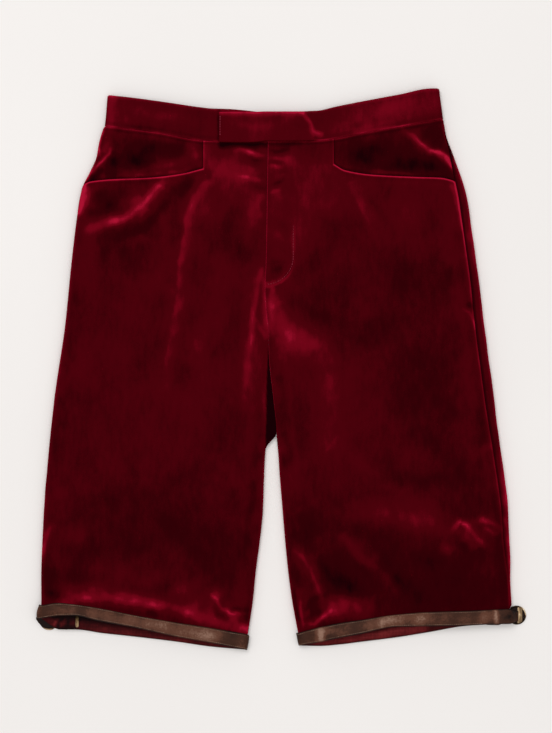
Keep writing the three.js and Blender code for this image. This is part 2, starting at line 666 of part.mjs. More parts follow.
const shorts = new THREE.Group();
function add(name, solid, finish) {
  const mesh = new THREE.Mesh(geometryOf(solid), new THREE.MeshStandardMaterial(FINISH[finish]));
  mesh.name = name;
  shorts.add(mesh);
}

for (const side of ["right", "left"]) {
  const front = frontWall(side).subtract(pocketOpening(side));
  add(`front_${side}`, side === "left" ? front.subtract(flyOutline(SEAM_GAP / 2)) : front, "velvet");
  if (side === "left") add("fly", front.intersect(flyOutline(-SEAM_GAP / 2)), "velvet");
  add(`back_${side}`, backWall(side), "velvet");
  add(`pocket_facing_${side}`, facingWall(side), "velvet");
  add(`waistband_${side}`, bandWall(side), "velvet");
  add(`hem_strap_${side}`, strapWall(side), "leather");
  add(`buckle_${side}`, buckle(side), "brass");
}

add("keeper_right", keeper(), "brass");

export default shorts;
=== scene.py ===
"""Knee-length velvet shorts, lying flat with the front up.

The cloth, waistband, leather hem straps and brass fittings are built over the engineering solids,
in the same frame: millimetres in the tables, metres in the meshes, +X towards the wearer's left,
+Y towards the waist and +Z up from the surface.
"""

import json
import logging
import math
from dataclasses import dataclass
from enum import Enum
from typing import Callable, Sequence

import bpy
import numpy as np
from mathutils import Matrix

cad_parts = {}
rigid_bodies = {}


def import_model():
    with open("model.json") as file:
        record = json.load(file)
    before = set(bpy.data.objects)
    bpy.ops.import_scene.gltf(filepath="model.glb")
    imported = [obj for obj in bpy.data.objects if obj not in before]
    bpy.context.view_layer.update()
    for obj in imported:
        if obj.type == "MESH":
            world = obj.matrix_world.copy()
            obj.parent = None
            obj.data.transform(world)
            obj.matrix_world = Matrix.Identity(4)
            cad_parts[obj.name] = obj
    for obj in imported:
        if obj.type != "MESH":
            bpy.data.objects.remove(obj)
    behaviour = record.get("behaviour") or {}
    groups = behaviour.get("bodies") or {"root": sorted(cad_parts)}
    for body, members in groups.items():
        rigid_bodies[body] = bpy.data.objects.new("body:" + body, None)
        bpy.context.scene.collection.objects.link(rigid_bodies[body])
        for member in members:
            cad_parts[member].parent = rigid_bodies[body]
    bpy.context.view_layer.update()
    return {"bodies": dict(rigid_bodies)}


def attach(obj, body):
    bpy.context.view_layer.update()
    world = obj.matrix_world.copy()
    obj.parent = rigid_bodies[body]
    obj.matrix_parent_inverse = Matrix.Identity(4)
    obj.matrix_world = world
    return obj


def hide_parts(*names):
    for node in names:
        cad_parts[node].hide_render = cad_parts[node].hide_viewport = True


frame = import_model()

Array = np.ndarray
Object = bpy.types.Object
Socket = bpy.types.NodeSocket

LOG = logging.getLogger("shorts")
MM = 0.001
QUARTER = math.pi / 2

# ---- sizes in millimetres ----
# walls, and gaps: at a seam, on each side of a seam's line, and where metal or thread rests
VELVET, WAISTBAND, LEATHER = 1.6, 3.0, 2.0
SEAM_GAP, SEAM_EASE, REST_GAP = 0.3, 0.05, 0.05
# rolled edges: radius of the outer and the inner one, and rise of the front's shoulder over them
ROLL_OUTER, ROLL_INNER, SHOULDER = 5.2, 4.4, 4.4
# heights of the outermost edge, of the valley between the halves, and of the waist
EDGE_HEIGHT, VALLEY_HEIGHT, WAIST_HEIGHT = 6.0, 5.0, 11.2
# where the legs part, and the centre front at the waist
CROTCH, CENTRE = -80.0, -16.2
# straps: width, how far the cloth's edge lies above theirs, thread from their edge, lift at a ring
STRAP_WIDTH, HEM_INSET, STITCH_INSET, RING_LIFT = 15.5, 1.0, 1.5, 2.4
# the waist tab: its end, where it meets the underlap, and where the band starts to climb
TAB_END, TAB_UNDER, TAB_FLAT = -75.0, 31.5, 46.0
# how far the tab's lower edge drops, and its upper edge
TAB_DROP, TAB_TOP = 1.2, 308.4
# pocket facings: how far they run under the mouth's edge, and how deep they lie
POCKET_UNDERLAP, POCKET_DIP = 6.0, VELVET + 0.7
# the fly's J: its straight edge, where it starts to turn, and its foot
FLY_EDGE, FLY_STRAIGHT, FLY_FOOT = 14.0, 135.0, 102.0
# the grids are finest at these distances from a seam
NEAR_SEAM = (0.6, 1.2, 1.9, 2.8, 4.0)


class Side(Enum):
    """The wearer's right or left, valued by its direction along X."""

    RIGHT = -1
    LEFT = 1


@dataclass(frozen=True)
class Line:
    """A smooth line through named places that never overshoots them.

    Args:
        rows: pairs of a place and its value, in either order of place.
    """

    rows: tuple[tuple[float, float], ...]

    def at(self, places: Array | float) -> Array:
        """Values at places, by cubic pieces with harmonic-mean slopes, held level past the ends.

        Args:
            places: where to read the line.

        Returns:
            An array of the same shape.
        """
        keys, values = np.array(sorted(self.rows)).T
        spans = np.diff(keys)
        slopes = np.diff(values) / spans
        left, right = slopes[:-1], slopes[1:]
        same = left * right > 0
        inner = np.where(same, 2 * left * right / np.where(same, left + right, 1.0), 0.0)
        tangents = np.concatenate([slopes[:1], inner, slopes[-1:]])
        at = np.clip(np.asarray(places, float), keys[0], keys[-1])
        i = np.clip(np.searchsorted(keys, at, side="right") - 1, 0, len(keys) - 2)
        h = spans[i]
        s = (at - keys[i]) / h
        return (
            values[i] * (1 + 2 * s) * (1 - s) ** 2
            + h * tangents[i] * s * (1 - s) ** 2
            + values[i + 1] * s * s * (3 - 2 * s)
            + h * tangents[i + 1] * s * s * (s - 1)
        )


def line(*rows: tuple[float, float]) -> Line:
    """A Line from its rows."""
    return Line(tuple(rows))


def bell(distance: Array, width: float | Array) -> Array:
    """1 on a line, falling smoothly to about a third at the width."""
    return np.exp(-((distance / width) ** 2))


def smooth(a: Array | float) -> Array:
    """Eases from 0 to 1 as a goes from 0 to 1."""
    t = np.clip(a, 0.0, 1.0)
    return t * t * (3 - 2 * t)


def mix(a, b, share):
    """Goes from a to b as share goes from 0 to 1."""
    return a + (b - a) * share


@dataclass(frozen=True)
class Stroke:
    """A soft mark along a path: a fold of the cloth, or a brushed place, painted highlight or painted
    shade in its pile.

    Args:
        amount: height in millimetres, or change of tone, on the path itself.
        width: distance at which the amount has fallen to about a third.
        points: the path in millimetres.
        held: keeps full strength to the ends instead of fading towards them.
        other: the width on the path's right-hand side, if it differs.
    """

    amount: float
    width: float
    points: tuple[tuple[float, float], ...]
    held: bool = False
    other: float = 0.0

    def at(self, x: Array, y: Array) -> Array:
        """The amount at each point: bell-shaped across the path, and a sine's power along it."""
        nearest, share, turned = np.full(x.shape, np.inf), np.zeros(x.shape), np.zeros(x.shape)
        spans = len(self.points) - 1
        for k, ((ax, ay), (bx, by)) in enumerate(zip(self.points, self.points[1:])):
            dx, dy = bx - ax, by - ay
            s = np.clip(((x - ax) * dx + (y - ay) * dy) / (dx**2 + dy**2), 0, 1)
            distance = np.hypot(x - (ax + dx * s), y - (ay + dy * s))
            closer = distance < nearest
            nearest = np.where(closer, distance, nearest)
            share = np.where(closer, (k + s) / spans, share)
            turned = np.where(closer, dx * (y - ay) - dy * (x - ax), turned)
        width = np.where(turned < 0, self.other or self.width, self.width)
        ends = 1.0 if self.held else np.sin(np.pi * np.clip(share, 0.0, 1.0)) ** 0.6
        return self.amount * bell(nearest, width) * ends


HELD = {"held": True}


def strokes(*rows: tuple) -> tuple[Stroke, ...]:
    """Strokes from rows of plain numbers.

    Args:
        rows: amount, width, and x and y of each place on the path; a dict of the stroke's other
            settings may end a row.

    Returns:
        A Stroke for each row.
    """
    made = []
    for amount, width, *path in rows:
        settings = path.pop() if isinstance(path[-1], dict) else {}
        made.append(Stroke(amount, width, tuple(zip(path[::2], path[1::2])), **settings))
    return tuple(made)


def total_of(marks: Sequence[Stroke], x: Array, y: Array) -> Array:
    """Sum of strokes at each point."""
    return sum((one.at(x, y) for one in marks), np.zeros(np.shape(x)))


def steps(length: float, pitch: float, near: Sequence[float]) -> Array:
    """Shares from 0 to 1 along a length: given distances near both ends, and even steps between.

    Args:
        length: the whole length in millimetres.
        pitch: size of an even step.
        near: distances from either end, from the smallest.

    Returns:
        The shares.
    """
    first = np.concatenate([[0.0], near]) / length
    count = max(2, round((length - 2 * near[-1]) / pitch))
    middle = np.linspace(first[-1], 1 - first[-1], count + 1)[1:-1]
    return np.concatenate([first, middle, 1 - first[::-1]])


# ---- the pattern, in millimetres ----
# by x: the waistband's upper edge and the waist seam; and by y: the outer and inner edges
WAIST_TOP = line(
    (-211, 329.4), (-182, 326.4), (-146, 321.6), (-92, 313.8), (-50, 309.8), (-16, 309), (22, 309),
    (44, 310.4), (64, 315), (94, 321), (142, 330), (178, 337), (191, 337.2),
)
WAIST_SEAM = line(
    (-211, 291.6), (-182, 288), (-146, 283.2), (-92, 274.2), (-50, 273), (-16, 273.6), (22, 273.6),
    (44, 274.2), (64, 276.6), (94, 282.6), (142, 291), (178, 297.6), (191, 300),
)
WAIST_EDGE = {Side.RIGHT: (-208.8, -212.4), Side.LEFT: (189.6, 194.4)}
OUTER = {
    Side.RIGHT: line(
        (292, -213.4), (273, -219), (254, -222.6), (239, -229.2), (215, -240.6), (196, -244.2),
        (129, -252.6), (52, -260.4), (-25, -271.8), (-101, -280.2), (-178, -286.2), (-255, -289),
        (-280, -288.6), (-294, -291.6), (-306, -291),
    ),
    Side.LEFT: line(
        (301, 194.4), (283, 197.4), (254, 207.6), (225, 217.8), (206, 222.6), (177, 227.4),
        (129, 234), (52, 243.6), (-25, 253.8), (-101, 264), (-178, 273), (-255, 275.4),
        (-282, 276), (-292, 270), (-306, 266),
    ),
}
CENTRE_SEAM = (
    (275, -16.2), (203, -17.4), (131, -18.6), (101, -19.8), (71, -18), (47, -15.6), (20, -15.2),
    (-38, -9.4), (-76, -5.8),
)
INNER = {
    Side.RIGHT: line(
        *CENTRE_SEAM, (-96, -19), (-133, -21), (-169, -22.2), (-205, -25.8), (-241, -30.6),
        (-277, -34.2), (-337, -43.4),
    ),
    Side.LEFT: line(
        *CENTRE_SEAM, (-84, -5.6), (-96, -4.4), (-133, -1.8), (-169, 1.2), (-205, 4.2), (-241, 7.8),
        (-277, 12.6), (-331, 22.6),
    ),
}
# left edge of the right half's rise, and of the web of cloth between the legs
MOUND = line((47, -15.6), (20, -15.5), (-38, -16), (-72, -18), (-96, -19))
WEB = line((29, -16.4), (-12, -18), (-60, -18.8), (-92, -19.4))
# by y: height of the front's crown, how far it dips at the centre, and how far the left side
# seam has rolled in
LOFT = line(
    (300, 10), (272, 11.5), (225, 15), (170, 16.5), (104, 16.5), (72, 16), (-100, 16),
    (-200, 16.5), (-260, 17), (-340, 17),
)
DIP = line((104, 0), (72, 0.2), (47, 0.5), (0, 0.9), (-38, 1), (-100, 1))
SIDE_ROLL = line(
    (300, 0), (272, 2.4), (225, 9.6), (170, 10.8), (104, 10.2), (72, 11), (47, 11.4), (0, 11.4),
    (-38, 11.4), (-100, 9.6), (-200, 7.8), (-260, 2.4), (-340, 1),
)
# hems by x: upper and lower edge of the front strap, lower edge of the back, heights of the front
HEM_COLUMNS = ("x", "high", "low", "back", "z_high", "z_low")
HEM_ROWS = {
    Side.RIGHT: (
        (-289, -282.6, -298, -300, 12.4, 12.4), (-266, -279.5, -294.6, -312.6, 12.4, 15),
        (-249, -281.4, -294, -312.6, 12.4, 17), (-218, -286.2, -300.4, -317, 12.4, 18),
        (-178, -294, -307.8, -321.4, 12.6, 17), (-125, -302.8, -319.6, -327.8, 13.5, 15),
        (-86, -309, -326.8, -333.4, 12, 12), (-41, -317.4, -336.6, -337.4, 9, 9),
    ),
    Side.LEFT: (
        (22, -315.6, -331.2, -332.4, 9, 9), (46, -308.4, -326.2, -332.8, 12, 12),
        (70, -303.2, -320.6, -331, 14, 15), (94, -299.6, -315.8, -328, 15, 17),
        (137, -293, -307.2, -322.6, 15, 17), (176, -290, -306.8, -316.4, 14, 15.5),
        (221, -288.8, -306.2, -308.8, 12.6, 13.4), (257, -287.2, -304.6, -306.4, 12.4, 12.6),
        (277, -286.4, -304.8, -306, 12.4, 12.4),
    ),
}
HEM = {
    side: {name: line(*((r[0], r[k]) for r in rows)) for k, name in enumerate(HEM_COLUMNS) if k}
    for side, rows in HEM_ROWS.items()
}
# by x: the pocket's mouth; where it starts at the waist; and the middle of each ring
MOUTH = {
    Side.RIGHT: line(
        (-94, 240.6), (-120, 234), (-160, 229.2), (-205, 227.4), (-228, 225.4), (-242, 219.6)
    ),
    Side.LEFT: line(
        (63, 245.8), (76, 238.4), (110, 232.8), (150, 230.6), (190, 229.4), (203, 227), (222, 218)
    ),
}
MOUTH_START = {Side.RIGHT: -94.0, Side.LEFT: 63.0}
RING_CENTRE = {Side.RIGHT: (-280.0, -302.4), Side.LEFT: (283.2, -295.8)}
# the main folds: height, width and path
MAIN_FOLDS = strokes(
    (3.6, 8, -236, 158, -184, 174, -158, 198, -144, 220),
    (-2.4, 10, -216, 152, -164, 166, -136, 200, -122, 226),
    (1.8, 9, -88, 228, -112, 172, -122, 96, -140, -16, -156, -128),
    (1.8, 8, -25, 122, -37, 62, -41, 11, -42, -68),
    (2.6, 15, -8, 78, 16, 41, 46, 26, 56, -4),
    (1.8, 9, 84, 226, 101, 190, 116, 162, 130, 134),
    (2.4, 16, 56, -92, 106, -134, 146, -164, 196, -208),
    (2, 9, 72, -198, 98, -224, 138, -258),
    (2, 9, 14, -216, 30, -230, 44, -258, 50, -270),
    (2.2, 9, 204, -186, 226, -198, 244, -206),
    (2.6, 8, -275, -275, -246, -268, -212, -268, -172, -277, -136, -286),
    (2, 11, 42, -296, 64, -282, 110, -278),
    (-1.8, 14, -194, -144, -134, -192, -80, -246),
)


@dataclass(frozen=True)
class Section:
    """One half of the shorts as a path round its section.

    A position is 0 at the outermost edge, positive over the front and negative under the back, in
    millimetres along the section to the centre seam or the inseam.

    Args:
        side: the wearer's side.
    """

    side: Side

    @property
    def sign(self) -> int:
        """Direction of this side along X."""
        return self.side.value

    @property
    def is_left(self) -> bool:
        """Whether this is the wearer's left."""
        return self.side is Side.LEFT

    def outer(self, y: Array) -> Array:
        """Sideways place of the outermost edge."""
        return OUTER[self.side].at(y)

    def inner(self, y: Array) -> Array:
        """Sideways place of the centre seam and the inseam."""
        return INNER[self.side].at(y) + self.sign * SEAM_EASE

    def hem(self, column: str, x: Array) -> Array:
        """A hem table's column at a sideways place."""
        return HEM[self.side][column].at(x)

    def mouth(self, x: Array) -> Array:
        """Height along the garment of the pocket's mouth."""
        return MOUTH[self.side].at(x)

    def length(self, y: Array) -> Array:
        """Length along the section from the outermost edge to the inner one."""
        width = self.sign * (self.outer(y) - self.inner(y))
        return width + (QUARTER - 1) * (ROLL_OUTER + ROLL_INNER)

    def position_of(self, x: Array | float, y: Array) -> Array:
        """Section position of a sideways place on the front."""
        inward = self.sign * (self.outer(y) - x)
        return self.rolled(inward)

    def rolled(self, inward: Array) -> Array:
        """Section position of a distance in from the outermost edge."""
        turned = ROLL_OUTER * np.arccos(1 - np.clip(inward / ROLL_OUTER, 0, 1))
        return np.where(inward >= ROLL_OUTER, inward + (QUARTER - 1) * ROLL_OUTER, turned)

    def side_seam(self, y: Array) -> Array:
        """Section position of the side seam: it has rolled on to the front on the left."""
        return self.rolled(SIDE_ROLL.at(y)) if self.is_left else np.zeros(np.shape(y))

    def across(self, position: Array, y: Array) -> Array:
        """Sideways place of a position: quarter circles at both edges and straight between them."""
        from_outer = np.abs(position)
        from_inner = self.length(y) - from_outer
        turned = np.minimum(from_outer, QUARTER * ROLL_OUTER)
        inward = ROLL_OUTER * (1 - np.cos(turned / ROLL_OUTER)) + from_outer - turned
        near_outer = self.outer(y) - self.sign * inward
        rest = np.clip(from_inner, 0, QUARTER * ROLL_INNER)
        near_inner = self.inner(y) + self.sign * ROLL_INNER * (1 - np.cos(rest / ROLL_INNER))
        return np.where(from_inner < QUARTER * ROLL_INNER, near_inner, near_outer)

    def legs(self, y: Array) -> Array:
        """0 where the halves are sewn together and 1 where this leg is apart."""
        return smooth((CROTCH - y) / 24)

    def near_hem(self, x: Array, y: Array) -> Array:
        """1 at the back hem and 0 above the strap."""
        return 1 - smooth((y - self.hem("back", x) - 17) / 24)

    def edge_height(self, x: Array, y: Array) -> Array:
        """Height of the outermost edge."""
        return EDGE_HEIGHT + 2 * self.near_hem(x, y)

    def front_height(self, position: Array, x: Array, y: Array) -> Array:
        """Height of the front: a shoulder at each edge, a long rise to the crown, and the folds."""
        edge = self.edge_height(x, y)
        loft = mix(WAIST_HEIGHT, LOFT.at(y), smooth((WAIST_SEAM.at(x) - y) / 45))
        high = self.hem("high", x)
        behind = np.clip(-(y - high) / (high - self.hem("low", x)), 0, 1)
        at_hem = mix(self.hem("z_high", x), self.hem("z_low", x), behind)
        from_edge = smooth(self.sign * (self.outer(y) - x) / 40)
        folds = total_of(MAIN_FOLDS, x, y)
        crown = mix(loft, at_hem, 1 - smooth((y - high) / 45)) + folds * from_edge
        shoulder = edge + SHOULDER * np.sin(np.clip(position / ROLL_OUTER, 0, QUARTER))
        crossed = shoulder + (crown - edge - SHOULDER) * from_edge
        start = np.maximum(0, self.sign * (x - self.inner(y)))
        if not self.is_left:
            start = np.where(y > CROTCH - 20, np.maximum(0, MOUND.at(y) - x), start)
        lip = SHOULDER * 0.7 * self.legs(y)
        left = np.clip(self.length(y) - position, 0, None)
        turned = np.sin(np.minimum(left / ROLL_INNER, QUARTER))
        rise = (crossed - VALLEY_HEIGHT - lip) * smooth(start / 26)
        return mix(crossed, VALLEY_HEIGHT + lip * turned + rise, DIP.at(y))

    def back_height(self, position: Array, x: Array, y: Array) -> Array:
        """Height of the back's underside: on the surface, lifted by the strap and ring at the hem."""
        lift = LEATHER + SEAM_GAP + RING_LIFT * smooth((self.sign * x - 226) / 26)
        outer = np.sin(np.clip(-position / ROLL_OUTER, 0, QUARTER))
        inner = np.sin(np.clip((self.length(y) + position) / ROLL_INNER, 0, QUARTER))
        turned = mix(self.edge_height(x, y), lift * self.near_hem(x, y), outer)
        return mix(turned, VALLEY_HEIGHT, self.legs(y) * (1 - inner))

    def underside(self, position: Array, y: Array) -> Array:
        """How far a row has changed from the front's edges (0) to the back's (1)."""
        left = np.maximum(0, self.length(y) - np.abs(position))
        inner = 0.5 * self.legs(y) * (1 - np.sin(np.minimum(left / ROLL_INNER, QUARTER)))
        outer = np.sin(np.clip(-position / ROLL_OUTER, 0, QUARTER)) ** 2
        return np.where(position >= 0, inner, outer - inner)

    def strap_top(self, x: Array, under: Array) -> Array:
        """Upper edge of the strap, from the front of the hem to its back."""
        return mix(self.hem("high", x), self.hem("back", x) + STRAP_WIDTH, under)

    def strap_foot(self, x: Array, under: Array) -> Array:
        """Lower edge of the strap, from the front of the hem to its back."""
        return mix(self.hem("low", x), self.hem("back", x), under)

    def surface(
        self, place: Callable[[Array], Array], row: Callable[[Array, Array], Array], shape: tuple
    ) -> tuple[Array, Array]:
        """Points where columns of the section cross rows of the pattern.

        Each point's height along the garment and sideways place depend on each other, so they are
        solved together by substitution.

        Args:
            place: section position of each column at a given y.
            row: y of each row at a given x and underside share.
            shape: rows and columns.

        Returns:
            The points, shaped (rows, columns, 3), and their section positions.
        """
        y = np.zeros(shape)
        x = self.across(place(y), y)
        for _ in range(14):
            y = row(x, self.underside(place(y), y))
            x = self.across(place(y), y)
        position = place(y)
        front = self.front_height(np.maximum(position, 0), x, y)
        back = self.back_height(np.minimum(position, 0), x, y)
        return np.stack([x, y, np.where(position >= 0, front, back)], axis=-1), position


def normals_of(points: Array) -> Array:
    """Unit normals of a grid of points, from its central differences."""
    normal = np.cross(np.gradient(points, axis=0), np.gradient(points, axis=1))
    return normal / np.maximum(np.linalg.norm(normal, axis=-1, keepdims=True), 1e-9)


def facing_up(points: Array) -> Array:
    """Unit normals of a grid of points, turned so that most of them point up."""
    normal = normals_of(points)
    return normal * np.sign(normal[..., 2].mean())


def undulation(x: Array, y: Array, shortest: float, longest: float, seed: int) -> Array:
    """Soft uneven waves between about -1 and 1: a sum of sines in many directions.

    Args:
        x, y: where to read it, in millimetres.
        shortest, longest: wavelengths.
        seed: picks the directions and phases.

    Returns:
        An array shaped as x.
    """
    chance = np.random.default_rng(seed)
    total, count = np.zeros(np.shape(x)), 18
    for _ in range(count):
        angle, phase = chance.uniform(0, np.pi), chance.uniform(0, 2 * np.pi)
        wave = 2 * np.pi / chance.uniform(shortest, longest)
        total += np.sin(wave * (x * math.cos(angle) + y * math.sin(angle) * 0.7) + phase)
    return total / math.sqrt(count)


# ---- finishes ----
def linear(colour: str) -> tuple[float, float, float, float]:
    """A linear colour from an sRGB hex value."""
    parts = [int(colour[k : k + 2], 16) / 255 for k in (1, 3, 5)]
    return (*(c / 12.92 if c <= 0.04045 else ((c + 0.055) / 1.055) ** 2.4 for c in parts), 1.0)


def fill(tree: bpy.types.NodeTree, node: bpy.types.Node, inputs: dict) -> None:
    """Sets a node's inputs, or links them where a socket is given, by input name or number."""
    for key, value in inputs.items():
        if isinstance(value, Socket):
            tree.links.new(value, node.inputs[key])
        else:
            node.inputs[key].default_value = value


def add_node(
    tree: bpy.types.NodeTree, kind: str, inputs: dict | None = None, **settings: str
) -> bpy.types.Node:
    """Adds a shader node.

    Args:
        tree: the material's tree.
        kind: the node's type, without its first words.
        inputs: values, or sockets to link, by input name or number.
        settings: the node's own properties.

    Returns:
        The new node.
    """
    made = tree.nodes.new("ShaderNode" + kind)
    for key, value in settings.items():
        setattr(made, key, value)
    fill(tree, made, inputs or {})
    return made


@dataclass(frozen=True)
class Noise:
    """A soft unevenness of a real size.

    Args:
        amount: how far it moves a tone.
        size_mm: its size across the garment.
        detail: how many finer layers it has.
        stretch: how much longer it is along the garment.
    """

    amount: float
    size_mm: float
    detail: float = 3.0
    stretch: float = 1.0


@dataclass(frozen=True)
class Paint:
    """The node tree of one material, and what its patterns start from.

    Args:
        tree: the material's node tree.
        place: Object coordinates.
        tone_and_painted_light: the piece's own tone.
    """

    tree: bpy.types.NodeTree
    place: Socket
    tone_and_painted_light: Socket

    def add(self, kind: str, inputs: dict, output: str | int = 0, **settings: str) -> Socket:
        """Adds a node and gives one of its outputs, the first if none is named."""
        return add_node(self.tree, kind, inputs, **settings).outputs[output]

    def noise(self, noise: Noise) -> Socket:
        """A noise of a real size between 0 and 1, stretched along the garment."""
        scale = (1.0, 1.0 / noise.stretch, 1.0)
        place = self.add("Mapping", {"Vector": self.place, "Scale": scale})
        inputs = {"Scale": 1000.0 / noise.size_mm, "Detail": noise.detail, "Roughness": 0.55}
        return self.add("TexNoise", {"Vector": place, **inputs})

    def shifted(self, base: Socket, pattern: Socket, amount: float) -> Socket:
        """Adds a pattern to a value, centred on zero: base + amount * (pattern - 0.5)."""
        centred = self.add("Math", {0: pattern, 1: -0.5}, operation="ADD")
        return self.add("Math", {0: centred, 1: amount, 2: base}, operation="MULTIPLY_ADD")

    def uneven(self, tone: Socket, *noises: Noise) -> Socket:
        """Shifts a tone by one noise after another."""
        for noise in noises:
            tone = self.shifted(tone, self.noise(noise), noise.amount)
        return tone


@dataclass(frozen=True)
class Finish:
    """A material made of procedural nodes.

    Args:
        name: the material's name.
        stops: its sRGB colours from the darkest tone to the lightest, with their tones.
    """

    name: str
    stops: tuple[tuple[float, str], ...]

    def material(self) -> bpy.types.Material:
        """The material, made on first use: its tone goes through a ramp of its colours."""
        known = bpy.data.materials.get(self.name)
        if known:
            return known
        made = bpy.data.materials.new(self.name)
        made.use_nodes = True
        tree = made.node_tree
        tree.nodes.clear()
        shader = add_node(tree, "BsdfPrincipled")
        add_node(tree, "OutputMaterial", {"Surface": shader.outputs["BSDF"]})
        place = add_node(tree, "TexCoord").outputs["Object"]
        # the vertex tone, with its painted light and shade
        tone_and_painted_light = add_node(tree, "Attribute", attribute_name="tone_and_painted_light").outputs["Fac"]
        tone, inputs = self.shade(Paint(tree, place, tone_and_painted_light))
        ramp = add_node(tree, "ValToRGB", {"Fac": tone})
        bar = ramp.color_ramp
        bar.interpolation = "EASE"
        while len(bar.elements) < len(self.stops):
            bar.elements.new(0.5)
        for element, (position, colour) in zip(bar.elements, self.stops):
            element.position, element.color = position, linear(colour)
        fill(tree, shader, {"Base Color": ramp.outputs["Color"], **inputs})
        return made

    def shade(self, paint: Paint) -> tuple[Socket, dict]:
        """The finish's own patterns.

        Args:
            paint: the material's tree.

        Returns:
            The tone that the colours are read at, and the shader's other inputs.
        """
        raise NotImplementedError


@dataclass(frozen=True)
class Velvet(Finish):
    """Woven cotton velvet: a dark cut pile that lightens where it is brushed or turned away.

    Args:
        patches: slow cloudy changes of the pile.
        brushed: marks drawn out along the garment.
        pile: its grain, drawn as coarse as it needs to show.
        lint_mm: distance between specks of lint.
        sheen: strength of the soft light at its edges.
    """

    patches: Noise = Noise(0.26, 26.0, 4, 1.6)
    brushed: Noise = Noise(0.18, 5.0, 6, 3.0)
    pile: Noise = Noise(0.18, 0.9, 2)
    lint_mm: float = 17.0
    sheen: float = 0.22

    def shade(self, paint: Paint) -> tuple[Socket, dict]:
        """Pile tone from the piece's own, with patches, brush marks, grain and lint."""
        tone = paint.uneven(paint.tone_and_painted_light, self.patches, self.brushed)
        grain = paint.noise(self.pile)
        tone = paint.shifted(tone, grain, self.pile.amount)
        specks = {"Vector": paint.place, "Scale": 1000.0 / self.lint_mm}
        reach = paint.add("TexVoronoi", specks, "Distance")
        lint = {"Value": reach, "From Max": 0.05, "To Min": 0.3, "To Max": 0.0}
        tone = paint.add("Math", {0: tone, 1: paint.add("MapRange", lint)}, operation="ADD")
        bump = paint.add("Bump", {"Height": grain, "Strength": 0.35, "Distance": 0.0005})
        return tone, {
            "Roughness": 0.9, "Specular IOR Level": 0.0, "Sheen Weight": self.sheen,
            "Sheen Roughness": 0.3, "Sheen Tint": linear("#ff1428"), "Normal": bump,
        }


@dataclass(frozen=True)
class Backing(Finish):
    """The velvet's woven reverse, seen inside the hems: matt, with a plain weave.

    Args:
        thread_mm: distance between threads, drawn as coarse as it needs to show.
        worn, cloudy: its unevenness.
    """

    thread_mm: float = 0.9
    worn: Noise = Noise(0.3, 3.0)
    cloudy: Noise = Noise(0.5, 14.0)

    def shade(self, paint: Paint) -> tuple[Socket, dict]:
        """A fine plain weave of two crossed waves on the piece's own tone, with cloudy worn patches.
        """
        scale = 1000.0 / self.thread_mm / 6.2832
        inputs = {"Vector": paint.place, "Scale": scale, "Distortion": 0.6}
        warp, weft = (paint.add("TexWave", inputs, "Fac", bands_direction=way) for way in "XY")
        weave = paint.add("Math", {0: warp, 1: weft}, operation="MULTIPLY")
        bump = paint.add("Bump", {"Height": weave, "Strength": 0.3, "Distance": 0.0002})
        tone = paint.uneven(paint.shifted(paint.tone_and_painted_light, weave, 0.25), self.worn, self.cloudy)
        return tone, {"Roughness": 0.8, "Specular IOR Level": 0.08, "Normal": bump}


@dataclass(frozen=True)
class Leather(Finish):
    """Smooth vegetable-tanned strap leather, dark at its painted edges and lighter in the middle,
    partly worn and partly a painted highlight.

    Args:
        patches, scuffs, grain: its unevenness.
        polish: how unevenly it is polished.
        pore_mm: distance between pores.
    """

    patches: Noise = Noise(0.5, 22.0, 4)
    scuffs: Noise = Noise(0.36, 2.2, 4)
    grain: Noise = Noise(0.3, 0.9, 2)
    polish: Noise = Noise(0.4, 5.0)
    pore_mm: float = 0.8

    def shade(self, paint: Paint) -> tuple[Socket, dict]:
        """Tone from the strap's own, with patches, pores and scuffs."""
        tone = paint.uneven(paint.tone_and_painted_light, self.patches, self.scuffs, self.grain)
        specks = {"Vector": paint.place, "Scale": 1000.0 / self.pore_mm}
        pores = paint.add("TexVoronoi", specks, "Distance")
        rough = {"Value": paint.uneven(pores, self.polish), "To Min": 0.45, "To Max": 0.7}
        bump = paint.add("Bump", {"Height": pores, "Strength": 0.35, "Distance": 0.0002})
        gloss = paint.add("MapRange", rough)
        return tone, {"Roughness": gloss, "Specular IOR Level": 0.12, "Normal": bump}


@dataclass(frozen=True)
class Brass(Finish):
    """Antiqued brass: dark in patches and worn bright between them; each piece's own tone also
    carries painted glints and shade.

    Args:
        patches: how unevenly it is rubbed.
    """

    patches: Noise = Noise(0.6, 3.0, 5)

    def shade(self, paint: Paint) -> tuple[Socket, dict]:
        """Colour and gloss from the piece's own tone, with its painted glints and shade, and a patchy
        noise.
        """
        tone = paint.uneven(paint.tone_and_painted_light, self.patches)
        gloss = paint.add("MapRange", {"Value": tone, "To Min": 0.42, "To Max": 0.22})
        return tone, {"Roughness": gloss, "Metallic": 1.0}


@dataclass(frozen=True)
class Plain(Finish):
    """A matt finish with a faint unevenness, for thread and the floor.

    Args:
        size_mm: size of the unevenness.
        roughness: how matt it is.
    """

    size_mm: float = 3.0
    roughness: float = 0.8

    def shade(self, paint: Paint) -> tuple[Socket, dict]:
        """Colour from a soft noise."""
        tone = paint.noise(Noise(1.0, self.size_mm))
        return tone, {"Roughness": self.roughness, "Specular IOR Level": 0.2}


